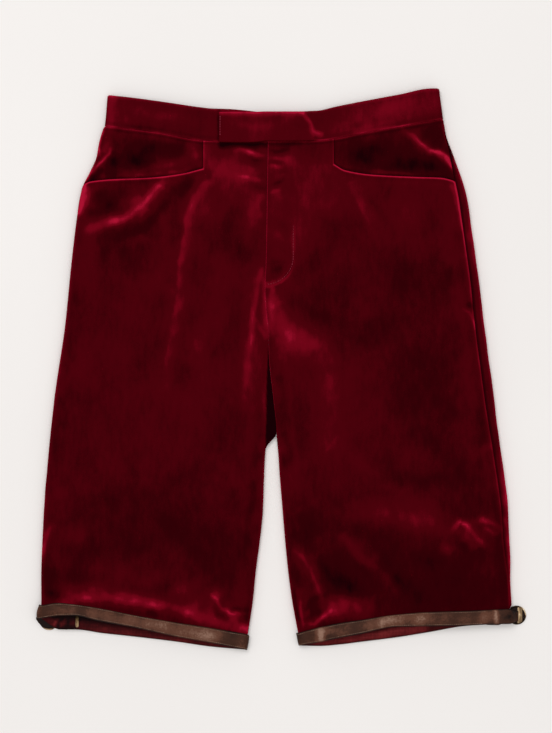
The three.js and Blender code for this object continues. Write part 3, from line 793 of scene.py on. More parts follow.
VELVET_FINISH = Velvet(
    "crimson_velvet",
    ((0.0, "#170104"), (0.25, "#300106"), (0.5, "#49020b"), (0.75, "#6c0516"), (1.0, "#a61230")),
)
BACKING_FINISH = Backing(
    "velvet_reverse", ((0.0, "#120103"), (0.45, "#390609"), (0.7, "#5c1518"), (1.0, "#80282a"))
)
LEATHER_FINISH = Leather(
    "strap_leather", ((0.05, "#130502"), (0.4, "#3a1e12"), (0.65, "#5b3627"), (0.95, "#8c6a5a"))
)
BRASS_FINISH = Brass(
    "antique_brass", ((0.05, "#120a05"), (0.35, "#4e3b26"), (0.6, "#94795a"), (0.95, "#efdcba"))
)
RED_THREAD = Plain("red_thread", ((0.3, "#780f22"), (0.7, "#a4364a")))
PALE_THREAD = Plain("pale_red_thread", ((0.3, "#84182c"), (0.7, "#a83c50")))
BROWN_THREAD = Plain("brown_thread", ((0.3, "#54382a"), (0.7, "#947866")), 6.0)
FLOOR_FINISH = Plain("floor", ((0.3, "#eeebe9"), (0.7, "#f1eeec")), 900.0, 0.9)


# ---- meshes ----
def link(name: str, mesh: bpy.types.Mesh, tone: Array | None, finishes: Sequence[Finish]) -> Object:
    """Adds a finished mesh to the scene as an object at the origin.

    Args:
        name: the object's name.
        mesh: its mesh.
        tone: brightness at each vertex, kept with the mesh; none if None.
        finishes: its materials.

    Returns:
        The new object.
    """
    # the vertex tone holds the piece's own tone with painted light and shade in it
    if tone is not None:
        kept = mesh.attributes.new("tone_and_painted_light", "FLOAT", "POINT")
        kept.data.foreach_set("value", tone.astype(np.float32))
    for finish in finishes:
        mesh.materials.append(finish.material())
    made = bpy.data.objects.new(name, mesh)
    bpy.context.scene.collection.objects.link(made)
    return made


def quads_mesh(name: str, points: Array, faces: Array) -> bpy.types.Mesh:
    """A smooth-shaded mesh of four-cornered faces, from arrays.

    Args:
        name: the mesh's name.
        points: vertices in metres.
        faces: four vertex indices for each face.

    Returns:
        The new mesh.
    """
    mesh = bpy.data.meshes.new(name)
    mesh.vertices.add(len(points))
    mesh.vertices.foreach_set("co", points.astype(np.float32).ravel())
    mesh.loops.add(faces.size)
    mesh.loops.foreach_set("vertex_index", faces.astype(np.int32).ravel())
    mesh.polygons.add(len(faces))
    mesh.polygons.foreach_set("loop_start", np.arange(0, faces.size, 4, dtype=np.int32))
    mesh.polygons.foreach_set("use_smooth", np.ones(len(faces), bool))
    mesh.update(calc_edges=True)
    mesh.validate()
    return mesh


def tube_faces(index: Array) -> Array:
    """Faces round a stack of closed rings, from the vertex indices of each ring."""
    rolled = np.roll(index, -1, axis=-1)
    corners = [index[..., :-1, :], rolled[..., :-1, :], rolled[..., 1:, :], index[..., 1:, :]]
    return np.stack(corners, axis=-1).reshape(-1, 4)


@dataclass
class Shell:
    """A closed wall between an outer and an inner grid of points.

    Args:
        outer: the outer points, shaped (rows, columns, 3), in millimetres.
        inner: the inner points behind them.
        tone: brightness of the pile at each outer point.
        keep: which of the grid's cells exist; all of them if None.
        within: brightness of the reverse at each inner point; even if None.
    """

    outer: Array
    inner: Array
    tone: Array
    keep: Array | None = None
    within: Array | None = None

    def build(self, name: str, finishes: Sequence[Finish]) -> Object:
        """Makes the object, with the first finish outside and on its edges and the last one inside.

        Args:
            name: the piece's name.
            finishes: one or two finishes.

        Returns:
            The new object.
        """
        grid = self.tone.shape
        index = np.arange(self.tone.size).reshape(grid)
        keep = self.keep if self.keep is not None else np.ones((grid[0] - 1, grid[1] - 1), bool)
        corners = np.stack([index[:-1, :-1], index[1:, :-1], index[1:, 1:], index[:-1, 1:]], axis=-1)
        cells, rims = corners[keep], self._rims(index, keep)
        faces = np.concatenate([cells, cells[:, ::-1] + index.size, rims])
        points = np.concatenate([self.outer.reshape(-1, 3), self.inner.reshape(-1, 3)])
        used, faces = np.unique(faces, return_inverse=True)
        mesh = quads_mesh(name, points[used] * MM, faces.reshape(-1, 4))
        if np.sum(normals_of(self.outer) * (self.outer - self.inner)) < 0:
            mesh.flip_normals()
        within = self.tone
        if len(finishes) > 1:
            within = self.within if self.within is not None else np.full(grid, 0.5)
        made = link(name, mesh, np.concatenate([self.tone.ravel(), within.ravel()])[used], finishes)
        if len(finishes) > 1:
            inside = np.repeat([0, 1, 0], [len(cells), len(cells), len(rims)])
            mesh.polygons.foreach_set("material_index", inside.astype(np.int32))
        return made

    @staticmethod
    def _rims(index: Array, keep: Array) -> Array:
        """Faces that join the two grids round the border of the kept cells."""
        padded = np.pad(keep, 1)
        middle = padded[1:-1, 1:-1]
        sides = (
            (padded[:-2, 1:-1], index[:-1, 1:], index[:-1, :-1]),
            (padded[2:, 1:-1], index[1:, :-1], index[1:, 1:]),
            (padded[1:-1, :-2], index[:-1, :-1], index[1:, :-1]),
            (padded[1:-1, 2:], index[1:, 1:], index[:-1, 1:]),
        )
        found = []
        for beyond, first, second in sides:
            a, b = first[middle & ~beyond], second[middle & ~beyond]
            found.append(np.stack([b, a, a + index.size, b + index.size], axis=-1))
        return np.concatenate(found)


# ---- pile tone ----
# marks in the pile, seen from above: brushed places, and painted highlights and shade of the folds,
# seams and edges; change of tone, width and path
FRONT_TONES = {
    Side.RIGHT: strokes(
        # painted highlights and shade of the hip folds below the pocket
        (0.34, 7, -237, 221, -236, 203, -242, 180),
        (-0.2, 12, -224, 214, -198, 194),
        (0.36, 6, -240, 166, -222, 172.5, -206, 177.5, -186, 180.5, -170, 186, -160, 195),
        (0.14, 6, -184, 198, -168, 208),
        (0.26, 6, -176, 184, -163, 194, -156, 207, -148, 219, -138, 231),
        (-0.08, 6, -246, 192, -228, 188, -206, 188),
        (-0.1, 8, -198, 206, -176, 214),
        (-0.22, 7, -124, 204, -106, 230),
        (0.14, 6, -92, 226, -84, 216),
        (0.12, 6, -236, 208, -226, 204),
        (0.12, 7, -150, 210, -136, 224, -124, 234),
        (-0.14, 10, -240, 184, -216, 192, -192, 202),
        (-0.14, 8, -164, 158, -150, 180, -136, 204),
        (0.34, 4, -236, 226, -239.4, 206, -242, 188, HELD),
        (-0.14, 12, -224, 141, -194, 150, -166, 162, -144, 182, -126, 206),
        (-0.1, 20, -226, 128, -190, 132, -150, 116),
        # the pressed crease's painted highlight, and the lighter and darker bands beside it
        (0.27, 8, -88, 228, -98, 215, -107, 200, -115, 179, -118, 155, -121, 131, -124, 95, -129, 59,
         -134, 29, -140, -7, -144, -40, {"other": 2.6}),
        (0.1, 9, -86, 230, -98, 210, -112, 188),
        (-0.15, 8, -122, 222, -127, 185, -129, 140),
        (0.17, 17, -88, 240, -55, 238, -24, 230),
        (0.12, 15, -84, 236, -62, 216, -56, 190),
        (0.08, 14, -98, 218, -98, 170),
        (0.22, 8, -93, 278, -89, 236),
        (0.07, 12, -86, 226, -34, 226),
        (0.1, 11, -40, 222, -24, 192),
        (0.09, 16, -98, 196, -72, 178),
        (0.1, 7, -134, 172, -124, 160),
        (0.12, 6, -136, 104, -130, 84),
        (0.05, 28, -206, 84, -150, 66),
        (0.05, 26, -104, 60, -84, 20),
        (-0.05, 14, -250, 104, -236, 62),
        (0.08, 14, -252, -206, -226, -212),
        (0.05, 20, -180, -224, -140, -236),
        (-0.06, 14, -96, -226, -60, -262),
        (-0.04, 16, -272, -124, -244, -132),
        (-0.09, 14, -54, 162, -42, 122),
        (0.16, 4, -236, 212, -232, 222),
        (0.12, 3, -206, 226, -186, 228),
        (0.1, 14, -142, -258, -100, -266, -62, -274),
        (0.22, 8, -260, -272, -240, -275),
        (0.16, 7, -142, -284, -124, -289),
        (0.16, 6, -84, -266, -70, -272),
        (0.18, 4, -60, -297, -46, -299),
        (0.06, 14, -200, -262, -140, -268),
        (-0.12, 4, -42, -284, -40, -304),
        (0.1, 8, -214, -272, -168, -280, -136, -286),
        (0.1, 7, -38, 205, -42, 150),
        (0.12, 8, -28, 210, -26, 180),
        (0.2, 10, -24, 222, -30, 190, -36, 166),
        (0.1, 12, -120, 200, -124, 168),
        (0.1, 14, -78, 150, -74, 100, -86, 50),
        (0.1, 15, -96, 60, -98, 30, -104, 0),
        (0.06, 20, -90, 70, -96, -20, -100, -90),
        (-0.12, 11, -244, 70, -252, 0, -257, -60, -264, -120),
        # painted highlights on the ridges beside the centre seam and the inseam, with painted shade
        # beside them
        (0.3, 3, -22, 124, -28, 101, -32, 71, -38, 29, -42, -12, -44, -50, {"other": 5}),
        (0.22, 3.6, -24, 122, -20, 100, -20, 70, -19, 34),
        (0.16, 3, -30, 62, -24, 48, -19, 32),
        (0.34, 4, -15, 92, -15, 66, -17, 34),
        (0.12, 2.4, -17.4, 24, -19, -20, -20, -60, -20.6, -96),
        (-0.18, 7, -32, 16, -27, -40, -31, -100, -35, -150, -40, -200, -47, -262),
        (0.36, 2.4, -58, 264.5, -46, 263, -33, 260, -15, 254, {"other": 4}),
        (-0.18, 3, -46, 257, -30, 252, -16, 248),
        (-0.14, 4, -52, 253, -35, 248, -20, 243),
        (0.24, 2.6, -56, 234, -38, 230, -16, 224, {"other": 5}),
        (-0.16, 4, -40, 221, -26, 217, -17, 214),
        # painted shadow under the waist tab's lower edge
        (-0.4, 4, -72, 270.5, -40, 269, -14, 269.5, HELD),
        # lower leg
        (0.16, 15, -252, -182, -236, -204),
        (0.1, 8, -268, -143, -262, -156),
        (0.4, 3.4, -272, -183, -281, -193, -285.4, -211, -287, -234),
        (-0.07, 22, -224, -138, -190, -180, -150, -196, -110, -192, -60, -200),
        (-0.1, 18, -52, -140, -66, -176),
        (-0.06, 24, -210, -140, -196, -176),
        (-0.05, 26, -190, -60, -120, -76),
        (0.1, 16, -250, -236, -180, -244, -112, -262),
        (-0.14, 11, -277, -236, -270, -270),
        (0.07, 20, -170, -70, -120, -100, -60, -110),
        # above the strap
        (0.34, 8, -262, -282, -246, -275, -206, -274, -158, -280, -110, -292, -71, -305, -38, -315,
         HELD),
        (0.2, 6, -256, -272, -240, -270, -204, -272, -160, -276),
        (-0.2, 6, -284, -268, -262, -271),
        (0.26, 12, -112, -290, -92, -282, -66, -286, HELD),
        (0.1, 24, -148, -236, -118, -262, -92, -262),
        (0.14, 10, -276, -262, -244, -262, -190, -258),
        (-0.18, 6, -136, -290, -118, -292),
        (-0.22, 6, -164, -288, -146, -291),
        (0.38, 2.6, -86, -268, -77, -275, -73, -285, -62, -292, -38, -295),
        (-0.2, 3, -82, -281, -76, -293, -62, -299),
        (0.2, 4, -68, -292, -52, -306, -38, -316),
        (-0.14, 3, -60, -285, -48, -288),
    ),
    Side.LEFT: strokes(
        # painted highlights and shade of the puckers across the fly
        (0.16, 3, -23, 255, 0, 252, 12, 252),
        (0.14, 3, -16, 242, -2, 245, 10, 247),
        (0.14, 4, -14, 218, -6, 228, 6, 234),
        (-0.22, 3.6, -20, 264, -6, 262, 12, 264),
        (-0.12, 3, -14, 248, 10, 246),
        (-0.24, 3.4, -14, 217, -6, 224, 4, 231),
        (0.22, 2.6, -16, 211, -8, 213, 0, 215),
        (0.2, 3, -14, 246, -7, 243, 0, 239),
        (-0.18, 2.4, -7, 240, 0, 238, 9, 236),
        (0.12, 7, 2, 252, 22, 247),
        # painted shadow under the waist tab
        (-0.2, 3.4, -18, 270, 6, 271, 24, 271),
        (0.12, 12, -8, 232, -6, 180, -4, 130),
        (0.18, 15, 50, 250, 40, 226, 30, 190, 10, 120),
        (0.1, 18, 66, 236, 72, 200, 54, 176),
        (-0.1, 10, 44, 150, 36, 112),
        (0.1, 9, 4, 128, 6, 88),
        (-0.12, 4, -13, 118, 2, 121),
        # painted highlights and shade of the swell at the crotch and the band that runs down from it
        (0.36, 5, -14, 102, -12, 70, -14, 38),
        (0.12, 8, 28, 34, 46, 24),
        (0.26, 9, -11, 88, -6, 68, 3, 53, 18, 41, 37, 32, 56, 27, {"other": 12}),
        (0.13, 14, -2, 44, 14, 28, 36, 18),
        (0.12, 7, -8, 98, 0, 76),
        (0.16, 4, -14, 97, -6, 96),
        (0.14, 12, 4, 34, 24, 20, 50, 12),
        (-0.1, 10, 12, 88, 34, 68, 66, 56),
        (0.2, 12, 50, 30, 58, -13, 54, -61, 62, -100),
        (-0.24, 7, -3, 14, 2, -30, 6, -84, 10, -124),
        (-0.12, 12, 16, -10, 24, -60, 22, -110),
        (-0.08, 9, 52, -20, 50, -90),
        (-0.16, 7, 14, -140, 17, -180, 20, -216),
        (-0.08, 30, 92, 62, 108, 20),
        (-0.13, 26, 140, 78, 160, 104, 206, 114),
        (-0.06, 26, 150, 190, 196, 176),
        (-0.08, 24, 104, -70, 116, -110, 150, -134),
        (-0.08, 36, 150, 40, 186, -40, 214, -110),
        (-0.05, 30, 110, 130, 190, 140),
        (-0.12, 9, 231, -44, 236, -90, 241, -130, 250, -172),
        # lower leg
        (0.22, 15, 74, -166, 118, -170, 164, -181, 208, -196, {"other": 13}),
        (-0.12, 12, 110, -124, 166, -134, 216, -130),
        (-0.14, 11, 150, -220, 196, -236),
        (0.44, 3.6, 200, -195, 214, -182, 224, -188, 233, -201, 244, -214),
        (0.34, 4, 226, -184, 240, -180, 254, -184, 265, -194),
        (0.22, 3, 238, -186, 253, -195, 262, -197),
        (0.3, 8, 212, -192, 228, -204, 234, -216),
        (-0.16, 4, 214, -206, 222, -220),
        (-0.2, 3, 244, -182, 254, -190),
        (0.2, 5, 188, -210, 205, -217),
        (0.24, 4, 68, -193, 85, -213, 109, -235, 144, -269, {"other": 7}),
        (-0.18, 11, 114, -226, 142, -254, 174, -276),
        (-0.26, 13, 44, -222, 70, -256, 110, -272),
        (-0.1, 26, 168, -240, 220, -256),
        (0.34, 3.6, 12, -215, 26, -226, 35, -239, 43, -260, 50, -279),
        (-0.16, 6, 14, -232, 24, -262),
        (-0.1, 18, 20, -170, 40, -205),
        # above the strap
        (0.56, 3.6, 25, -304, 39, -305, 47, -299, 54, -292, 60, -284, {"other": 3}),
        (0.5, 11, 48, -290, 62, -283, 82, -282, 112, -287),
        (0.12, 5, 50, -300, 64, -294),
        (-0.1, 6, 32, -284, 39, -295),
        (-0.12, 4, 27, -288, 38, -276, 56, -269),
        (0.12, 9, 34, -268, 56, -266),
        (0.36, 2.2, 21.6, -276, 24, -290, 25.6, -312),
        (-0.26, 2.6, 15, -262, 18, -284, 21, -302),
        (0.16, 3, 18, -262, 22, -296),
        (0.16, 2.4, 27, -296, 34, -286),
        (-0.08, 9, 150, -281, 262, -281),
        (0.14, 4, 206, -190, 214, -196),
        (0.14, 4, 238, -176, 252, -188),
        (-0.09, 14, 150, -66, 196, -100, 236, -140),
        (0.14, 7, 48, -288, 68, -292, 92, -298),
        # beside the side seam
        (-0.12, 7, 210, 172, 218, 138),
        (0.14, 5, 206, 250, 214, 226),
        (0.32, 2.4, 216, 74, 226, 67, 232, 53, 237, 29, 240, 8),
        (-0.22, 3, 223, 81, 233, 70),
        (0.36, 4, 203, 228, 210, 208, 215, 184, 218, 166),
        (0.14, 4, 216, 172, 221, 146, 224, 110, 227, 80),
        (-0.08, 12, 196, 122, 216, 104),
        (-0.06, 22, 120, 84, 180, 50),
        (-0.05, 22, 56, 196, 84, 150),
        (0.1, 5, 104, 198, 118, 172),
        (-0.09, 10, 230, -34, 246, -96),
        (-0.08, 7, 1, -98, 10, -118),
        (-0.08, 9, 80, -192, 130, -204),
        (0.14, 3, 232, -176, 242, -180),
        (0.16, 3, 240, -188, 254, -192),
        (0.17, 5, 262, -90, 250, -92, 236, -98),
        (0.14, 4, 256, -128, 262, -150, 266, -172),
        (0.17, 8, 80, 226, 90, 206, 104, 178, 118, 142, {"other": 4}),
        (-0.12, 8, 98, 216, 108, 194, 120, 168),
        (0.1, 5, 120, 226, 160, 225, 204, 222),
        (0.06, 20, 120, 200, 170, 170),
    ),
}
# painted highlights along the facings' folds, seam and mouth, and painted shade between them
FACING_TONES = {
    Side.RIGHT: strokes(
        (0.26, 7, -205, 292, -207, 274, -214, 258, -222, 246, HELD),
        (0.22, 8, -200, 274, -186, 288, -168, 288),
        (-0.16, 8, -204, 256, -196, 240),
        (0.18, 5, -238, 230, -231, 240),
        (0.42, 1.8, -203, 268, -208, 259, -218, 247, -229, 235, -238, 222),
        (0.28, 1.3, -213, 290, -216, 279, -217.6, 266, -216.6, 254),
        (-0.26, 3.2, -212, 262, -224, 249, -234, 238),
        (0.34, 3.4, -200, 230, -160, 232, -120, 237, -106, 241),
        (-0.14, 5, -212, 233, -198, 235),
        (-0.16, 9, -199, 262, -204, 246, -216, 234),
        (-0.3, 4, -214, 241, -228, 227),
        (-0.26, 13, -192, 262, -176, 250, -150, 250),
        (0.22, 6, -192, 236, -158, 240, -128, 246, -98, 256),
        (0.12, 12, -116, 268, -100, 250),
        (0.1, 12, -150, 272, -120, 270),
        (-0.16, 9, -176, 262, -140, 269, -112, 262),
        (0.14, 9, -186, 282, -150, 281, -108, 274),
        (0.16, 7, -108, 268, -98, 250, HELD),
    ),
    Side.LEFT: strokes(
        (-0.26, 13, 118, 250, 160, 246, 206, 236),
        (-0.16, 8, 76, 252, 98, 248, 122, 246),
        (-0.16, 11, 78, 262, 132, 266),
        (0.22, 3, 104, 237, 150, 234, 188, 232),
        (0.6, 2.6, 143, 292, 155, 281, 167, 271, 180, 264, 191, 261, 197, 256, 204, 246, 212, 232,
         {"other": 5}),
        (0.46, 2, 196, 256, 202, 246, 207, 234),
        (0.16, 6, 150, 291, 172, 275, 191, 268),
        (-0.16, 7, 176, 290, 192, 277),
        (-0.16, 7, 164, 284, 178, 274, 196, 270),
        (-0.1, 10, 78, 254, 112, 256),
        (0.12, 12, 92, 276, 128, 280),
        (0.2, 3, 188, 256, 202, 246, 211, 234, HELD),
        (0.1, 4, 96, 236, 140, 232),
    ),
}
# painted highlights along the waistband's creases and edges, and painted shade beside them
BAND_TONES = strokes(
    (0.34, 2, 25, 310, 32, 299, 35.5, 291, 40, 285.5, 48, 281.5, {"held": True, "other": 4}),
    (0.18, 8, -2, 303, 24, 304),
    (-0.12, 5, 82, 290, 98, 293),
    (-0.1, 8, 18, 308, 26, 286),
    (0.14, 22, 90, 300, 140, 312, 188, 326, HELD),
    (0.1, 9, 110, 308, 160, 322),
    (-0.1, 8, -190, 292, -130, 290, -90, 284),
    (0.1, 7, -196, 318, -150, 304, -116, 302),
    (0.1, 6, -66, 300, -40, 290, 10, 294),
    (0.24, 4, -72, 307, -20, 306.5, 24, 308, HELD),
    (0.14, 4, 86, 284, 120, 287, 152, 289),
    (0.28, 8, -206, 326, -207, 292, HELD),
    (0.16, 12, -206, 300, -172, 292),
    (0.16, 5, 78, 284, 104, 289, 138, 294),
)
# the reverse inside the hems: painted highlights and shade of its folds, and painted shade under the
# strap
INSIDE_TONES = strokes(
    (0.34, 2.2, -268, -299, -275, -309),
    (-0.4, 2, -264, -299, -270, -310),
    (0.26, 2, -260, -300, -266, -310),
    (-0.34, 2.4, -255, -300, -259, -310),
    (-0.5, 3.4, -268, -312, -250, -311, HELD),
    (0.4, 4.4, 96, -319, 130, -312, 150, -309, 196, -303),
    (0.3, 5, 44, -329, 100, -323, 170, -312, HELD),
    (0.16, 3, -236, -313, -150, -322, -70, -333, HELD),
)
# painted highlights and shade on the straps, painted shade beside the left ring, and a punched hole
# painted dark
LEATHER_TONES = strokes(
    (0.14, 26, -116, -314, -84, -320, HELD),
    (-0.22, 14, -64, -322, -44, -329, HELD),
    (-0.14, 16, -276, -290, -254, -288, HELD),
    (0.08, 12, -190, -299, -170, -303),
    (-0.12, 12, -158, -305, -138, -309),
    (0.06, 9, -254, -287, -242, -289),
    (-0.34, 8, 20, -322, 33, -320, HELD),
    (0.46, 5.4, 46, -308, 48.5, -328, HELD),
    (0.26, 7, 54, -306, 57, -318),
    (0.12, 9, 58, -317, 74, -312),
    (0.12, 12, 140, -300, 172, -297),
    (-0.18, 14, 64, -314, 88, -309, HELD),
    (0.2, 11, 126, -302, 148, -300),
    (0.08, 8, 88, -309, 100, -307),
    (-0.08, 8, 108, -305, 118, -303),
    (-0.1, 10, 216, -296, 240, -296),
    (0.46, 3.4, 256, -286, 257.5, -306, HELD),
    (-0.42, 8, 266, -296, 284, -296, HELD),
    (-0.6, 1.5, 270.6, -295.8, 272.2, -295.8, HELD),
)
# painted highlights along the back's outer edge, and painted shade beside the left side seam
BACK_TONES = strokes(
    (0.22, 4, 266, -178, 272, -229, 275, -276, HELD),
    (0.14, 5, 222, 182, 232, 120),
    (-0.5, 8, 197, 290, 203, 268, 207, 252),
    (-0.16, 5, 258, -66, 262, -104),
    (0.2, 4, 264, -120, 270, -172),
)


def pile_tone_and_light(
    points: Array, normal: Array, base: float, seed: int, brushed: Sequence[Stroke]
) -> Array:
    """Brightness of the pile.

    The pile is painted lighter where the cloth tilts away from level, a painted sheen. It is painted
    lighter where it faces the waist and darker where it faces the hem, as the key light falls from
    the waist's side. Along its marks it is lighter or darker: brushed pile, and painted highlights
    and shade of its folds and seams, whose edges stray a little; slow waves make it cloudy.

    Args:
        points: the cloth's points in millimetres.
        normal: their unit normals, pointing out of the cloth.
        base: tone of level, unbrushed pile.
        seed: picks the cloudiness.
        brushed: the marks seen from above: brushed pile, and painted highlights and shade.

    Returns:
        A tone for each point, where 0 is the darkest and 1 the lightest.
    """
    x, y = points[..., 0], points[..., 1]
    upward = np.abs(normal[..., 2])
    tilt = np.sqrt(np.clip(1 - upward**2, 0, 1))
    # painted sheen on tilted cloth, painted light on slopes facing the waist and painted shade on
    # slopes facing the hem
    turned = 0.5 * tilt**1.4 + 0.45 * normal[..., 1] * (upward > 0.5)
    strayed = [
        0.9 * undulation(x, y, 18, 60, seed + k) + 0.5 * undulation(x, y, 6, 16, seed + k + 1)
        for k in (50, 60)
    ]
    marks = total_of(brushed, x + strayed[0], y + strayed[1]) * smooth(normal[..., 2] * 4)
    patchy = 1 + 0.22 * undulation(x, y, 12, 44, seed + 70)
    cloudy = 0.03 * undulation(x, y, 60, 190, seed)
    return base + turned + marks * patchy + cloudy


# ---- the garment ----
@dataclass
class Piece:
    """A finished piece of the shorts.

    Args:
        name: its name.
        nodes: the CAD nodes it stands for.
        slot: the record's material slot; not used.
    """

    name: str
    nodes: tuple[str, ...]
    slot: str

    def settle(self, made: Object) -> Object:
        """Puts the piece in the frame in place of its nodes.

        Args:
            made: the piece's object.

        Returns:
            The same object.
        """
        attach(made, next(iter(frame["bodies"])))
        if self.nodes:
            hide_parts(*self.nodes)
        LOG.info("%s: %d faces", self.name, len(made.data.polygons))
        return made


@dataclass
class Panel(Piece):
    """A piece of one half of the shorts.

    Args:
        section: the half it belongs to.
    """

    section: Section


def ridge(distance: Array, size: tuple[float, float]) -> Array:
    """A soft ridge or groove beside a line, from its height and width."""
    height, width = size
    return height * bell(distance, width)


@dataclass
class Cloth(Panel):
    """A panel of velvet.

    Args:
        waves: height, and shortest and longest length, of its fine waves.
        waist_groove, seam_groove, pocket_groove: depth and width of the groove at its seams.
        mouth_roll: height and width of the turned edge of the pocket's mouth.
        base: tone of its level, unbrushed pile.
    """

    waves: tuple[float, float, float] = (0.45, 26, 95)
    waist_groove: tuple[float, float] = (0.9, 1.8)
    seam_groove: tuple[float, float] = (0.8, 1.6)
    pocket_groove: tuple[float, float] = (0.3, 1.4)
    mouth_roll: tuple[float, float] = (0.35, 2.2)
    base: float = 0.41

    def wavy(self, x: Array, y: Array, seed: int) -> Array:
        """Height of the cloth's fine waves."""
        height, shortest, longest = self.waves
        return height * undulation(x, y, shortest, longest, seed)

    def wall(self, points: Array, normal: Array, tone: Array, **parts: Array) -> Object:
        """Makes a wall of velvet behind its outer points.

        Args:
            points: the outer points in millimetres.
            normal: their unit normals.
            tone: brightness of the pile.
            parts: the shell's other settings.

        Returns:
            The piece's object.
        """
        shell = Shell(points, points - normal * VELVET, np.clip(tone, 0, 1), **parts)
        return self.settle(shell.build(self.name, [VELVET_FINISH, BACKING_FINISH]))


@dataclass
class Front(Cloth):
    """A front panel, cut away above its pocket mouth."""

    def build(self) -> Object:
        """Makes the panel from two blocks of columns: outside and inside the pocket's start.

        Returns:
            The piece's object.
        """
        section = self.section
        start = MOUTH_START[section.side]
        outside = steps(175, 2.4, NEAR_SEAM)
        inside = steps(78, 2.2, (*NEAR_SEAM, *np.arange(5.2, 17, 1.2)))[1:]
        split = len(outside)

        def place(y: Array) -> Array:
            """Columns spread from the side seam to the pocket's start, and on to the middle."""
            seam, end = section.side_seam(y) + SEAM_EASE, section.length(y) - SEAM_EASE
            pocket = section.position_of(start, y)
            halves = (
                mix(seam[:, :split], pocket[:, :split], outside),
                mix(pocket[:, split:], end[:, split:], inside),
            )
            return np.concatenate(halves, axis=1)

        above = steps(42, 1.8, NEAR_SEAM[:3])
        below = steps(530, 2.3, NEAR_SEAM)
        share = np.concatenate([above, 1 + below[1:]])[:, None]

        def row(x: Array, under: Array) -> Array:
            """Rows spread from the waist to the pocket's mouth, and on to the hem."""
            seam, mouth = WAIST_SEAM.at(x), section.mouth(x)
            foot = section.strap_foot(x, under) + HEM_INSET
            return np.where(share <= 1, mix(seam, mouth, share), mix(mouth, foot, share - 1))

        shape = (len(share), split + len(inside))
        points, position = section.surface(place, row, shape)
        x, y = points[..., 0], points[..., 1]
        keep = np.ones((shape[0] - 1, shape[1] - 1), bool)
        keep[: len(above) - 1, : split - 1] = False

        to_waist = WAIST_SEAM.at(x) - y
        to_middle = section.length(y) - position
        to_side = position - section.side_seam(y)
        to_mouth = section.mouth(x) - y
        pocketed = smooth(section.sign * (x - start) + 1)
        to_pocket = np.abs(x - start) + 40 * (to_mouth > 1)
        # fine waves, a groove at each seam, and the turned edge of the mouth
        lift = self.wavy(x, y, 3 + section.sign) * smooth(position / 24)
        lift -= ridge(to_waist, self.waist_groove) + ridge(to_middle, self.seam_groove)
        lift -= ridge(to_side, self.seam_groove) + ridge(to_pocket, self.pocket_groove)
        lift += ridge(to_mouth - 2.2, self.mouth_roll) * pocketed
        if section.is_left:
            lift += self._fly_lift(x, y)
        points = points + facing_up(points) * lift[..., None]
        normal = facing_up(points)
        tone = pile_tone_and_light(points, normal, self.base, 11 + section.sign, FRONT_TONES[section.side])
        # painted highlights along each seam and the mouth, a painted shaded strip below the waist,
        # and a darker leg
        tone += 0.30 * bell(to_waist, 0.8) - 0.22 * bell(to_waist - 2.4, 1.6)
        tone += 0.16 * bell(to_pocket - 0.9, 0.9) + 0.52 * bell(to_mouth - 0.5, 1.3) * pocketed
        tone += self._seam_tone(x, y, to_middle, to_side)
        tone -= 0.10 * smooth((-90 - y) / 160)
        return self.wall(points, normal, tone, keep=keep)

    def _seam_tone(self, x: Array, y: Array, to_middle: Array, to_side: Array) -> Array:
        """Painted highlights and shade beside the centre seam, the side seam and the fly, and painted
        shade on the web between the legs.

        Args:
            x, y: the points' places.
            to_middle, to_side: their distances from the two seams.

        Returns:
            What to add to the pile's tone: a sum of soft lines of painted highlight and shade, each
            faded along the garment.
        """
        if not self.section.is_left:
            # the web between the legs lies in shade and is painted darker, with a painted shade line
            # along the centre seam above it
            joined = smooth((y + 88) / 6)
            web = smooth((x - WEB.at(y)) / 1.4) * smooth((34 - y) / 16)
            lower = smooth((y + 104) / 10)
            return -0.35 * bell(to_middle, 1.4) * joined * (1 - web) - 0.55 * web * lower
        lap = smooth((y - 98) / 8)
        # painted highlight along the centre seam
        centre = 0.25 * bell(to_middle - 0.8, 1.0) * mix(0.7, 1.0, lap)
        centre += 0.30 * bell(to_middle - 0.6, 1.6) * smooth((-96 - y) / 20)
        run = distance_to_fly(x, y)
        foot = bell(y - FLY_FOOT, 7) * smooth((-CENTRE - 8 - x) / 6)
        # painted highlight and shade along the fly's stitched J, and a painted highlight at its foot
        stitched = (0.16 * bell(run - 1.2, 1.4) - 0.12 * bell(run, 1.2)) * fly_fade(y)
        stitched += 0.30 * bell(run + 0.5, 2.4) * foot
        broken = np.clip(0.75 + 0.5 * undulation(0 * x, y, 16, 60, 5), 0.1, 1.3)
        # painted highlight along the side seam, broken along its length, with painted shade further
        # in
        painted_highlight = 0.16 + 0.22 * smooth((y - 140) / 16) - 0.06 * smooth((-30 - y) / 60)
        beside = painted_highlight * bell(to_side - 0.8, 1.2) * broken
        return centre + stitched + beside - 0.08 * bell(to_side - 7, 5) * smooth((140 - y) / 20)

    @staticmethod
    def _fly_lift(x: Array, y: Array) -> Array:
        """The fly: a lap proud of the centre, a stitched channel along its J, and small puckers."""
        lap = 0.9 * bell(x - CENTRE, 9) * smooth((y - 98) / 12)
        channel = -0.55 * bell(distance_to_fly(x, y), 1.5) * fly_fade(y)
        puckers = 0.35 * np.sin((y + 0.35 * x) / 3.9) * bell(x + 2, 12) * bell(y - 180, 60)
        return lap + channel + puckers


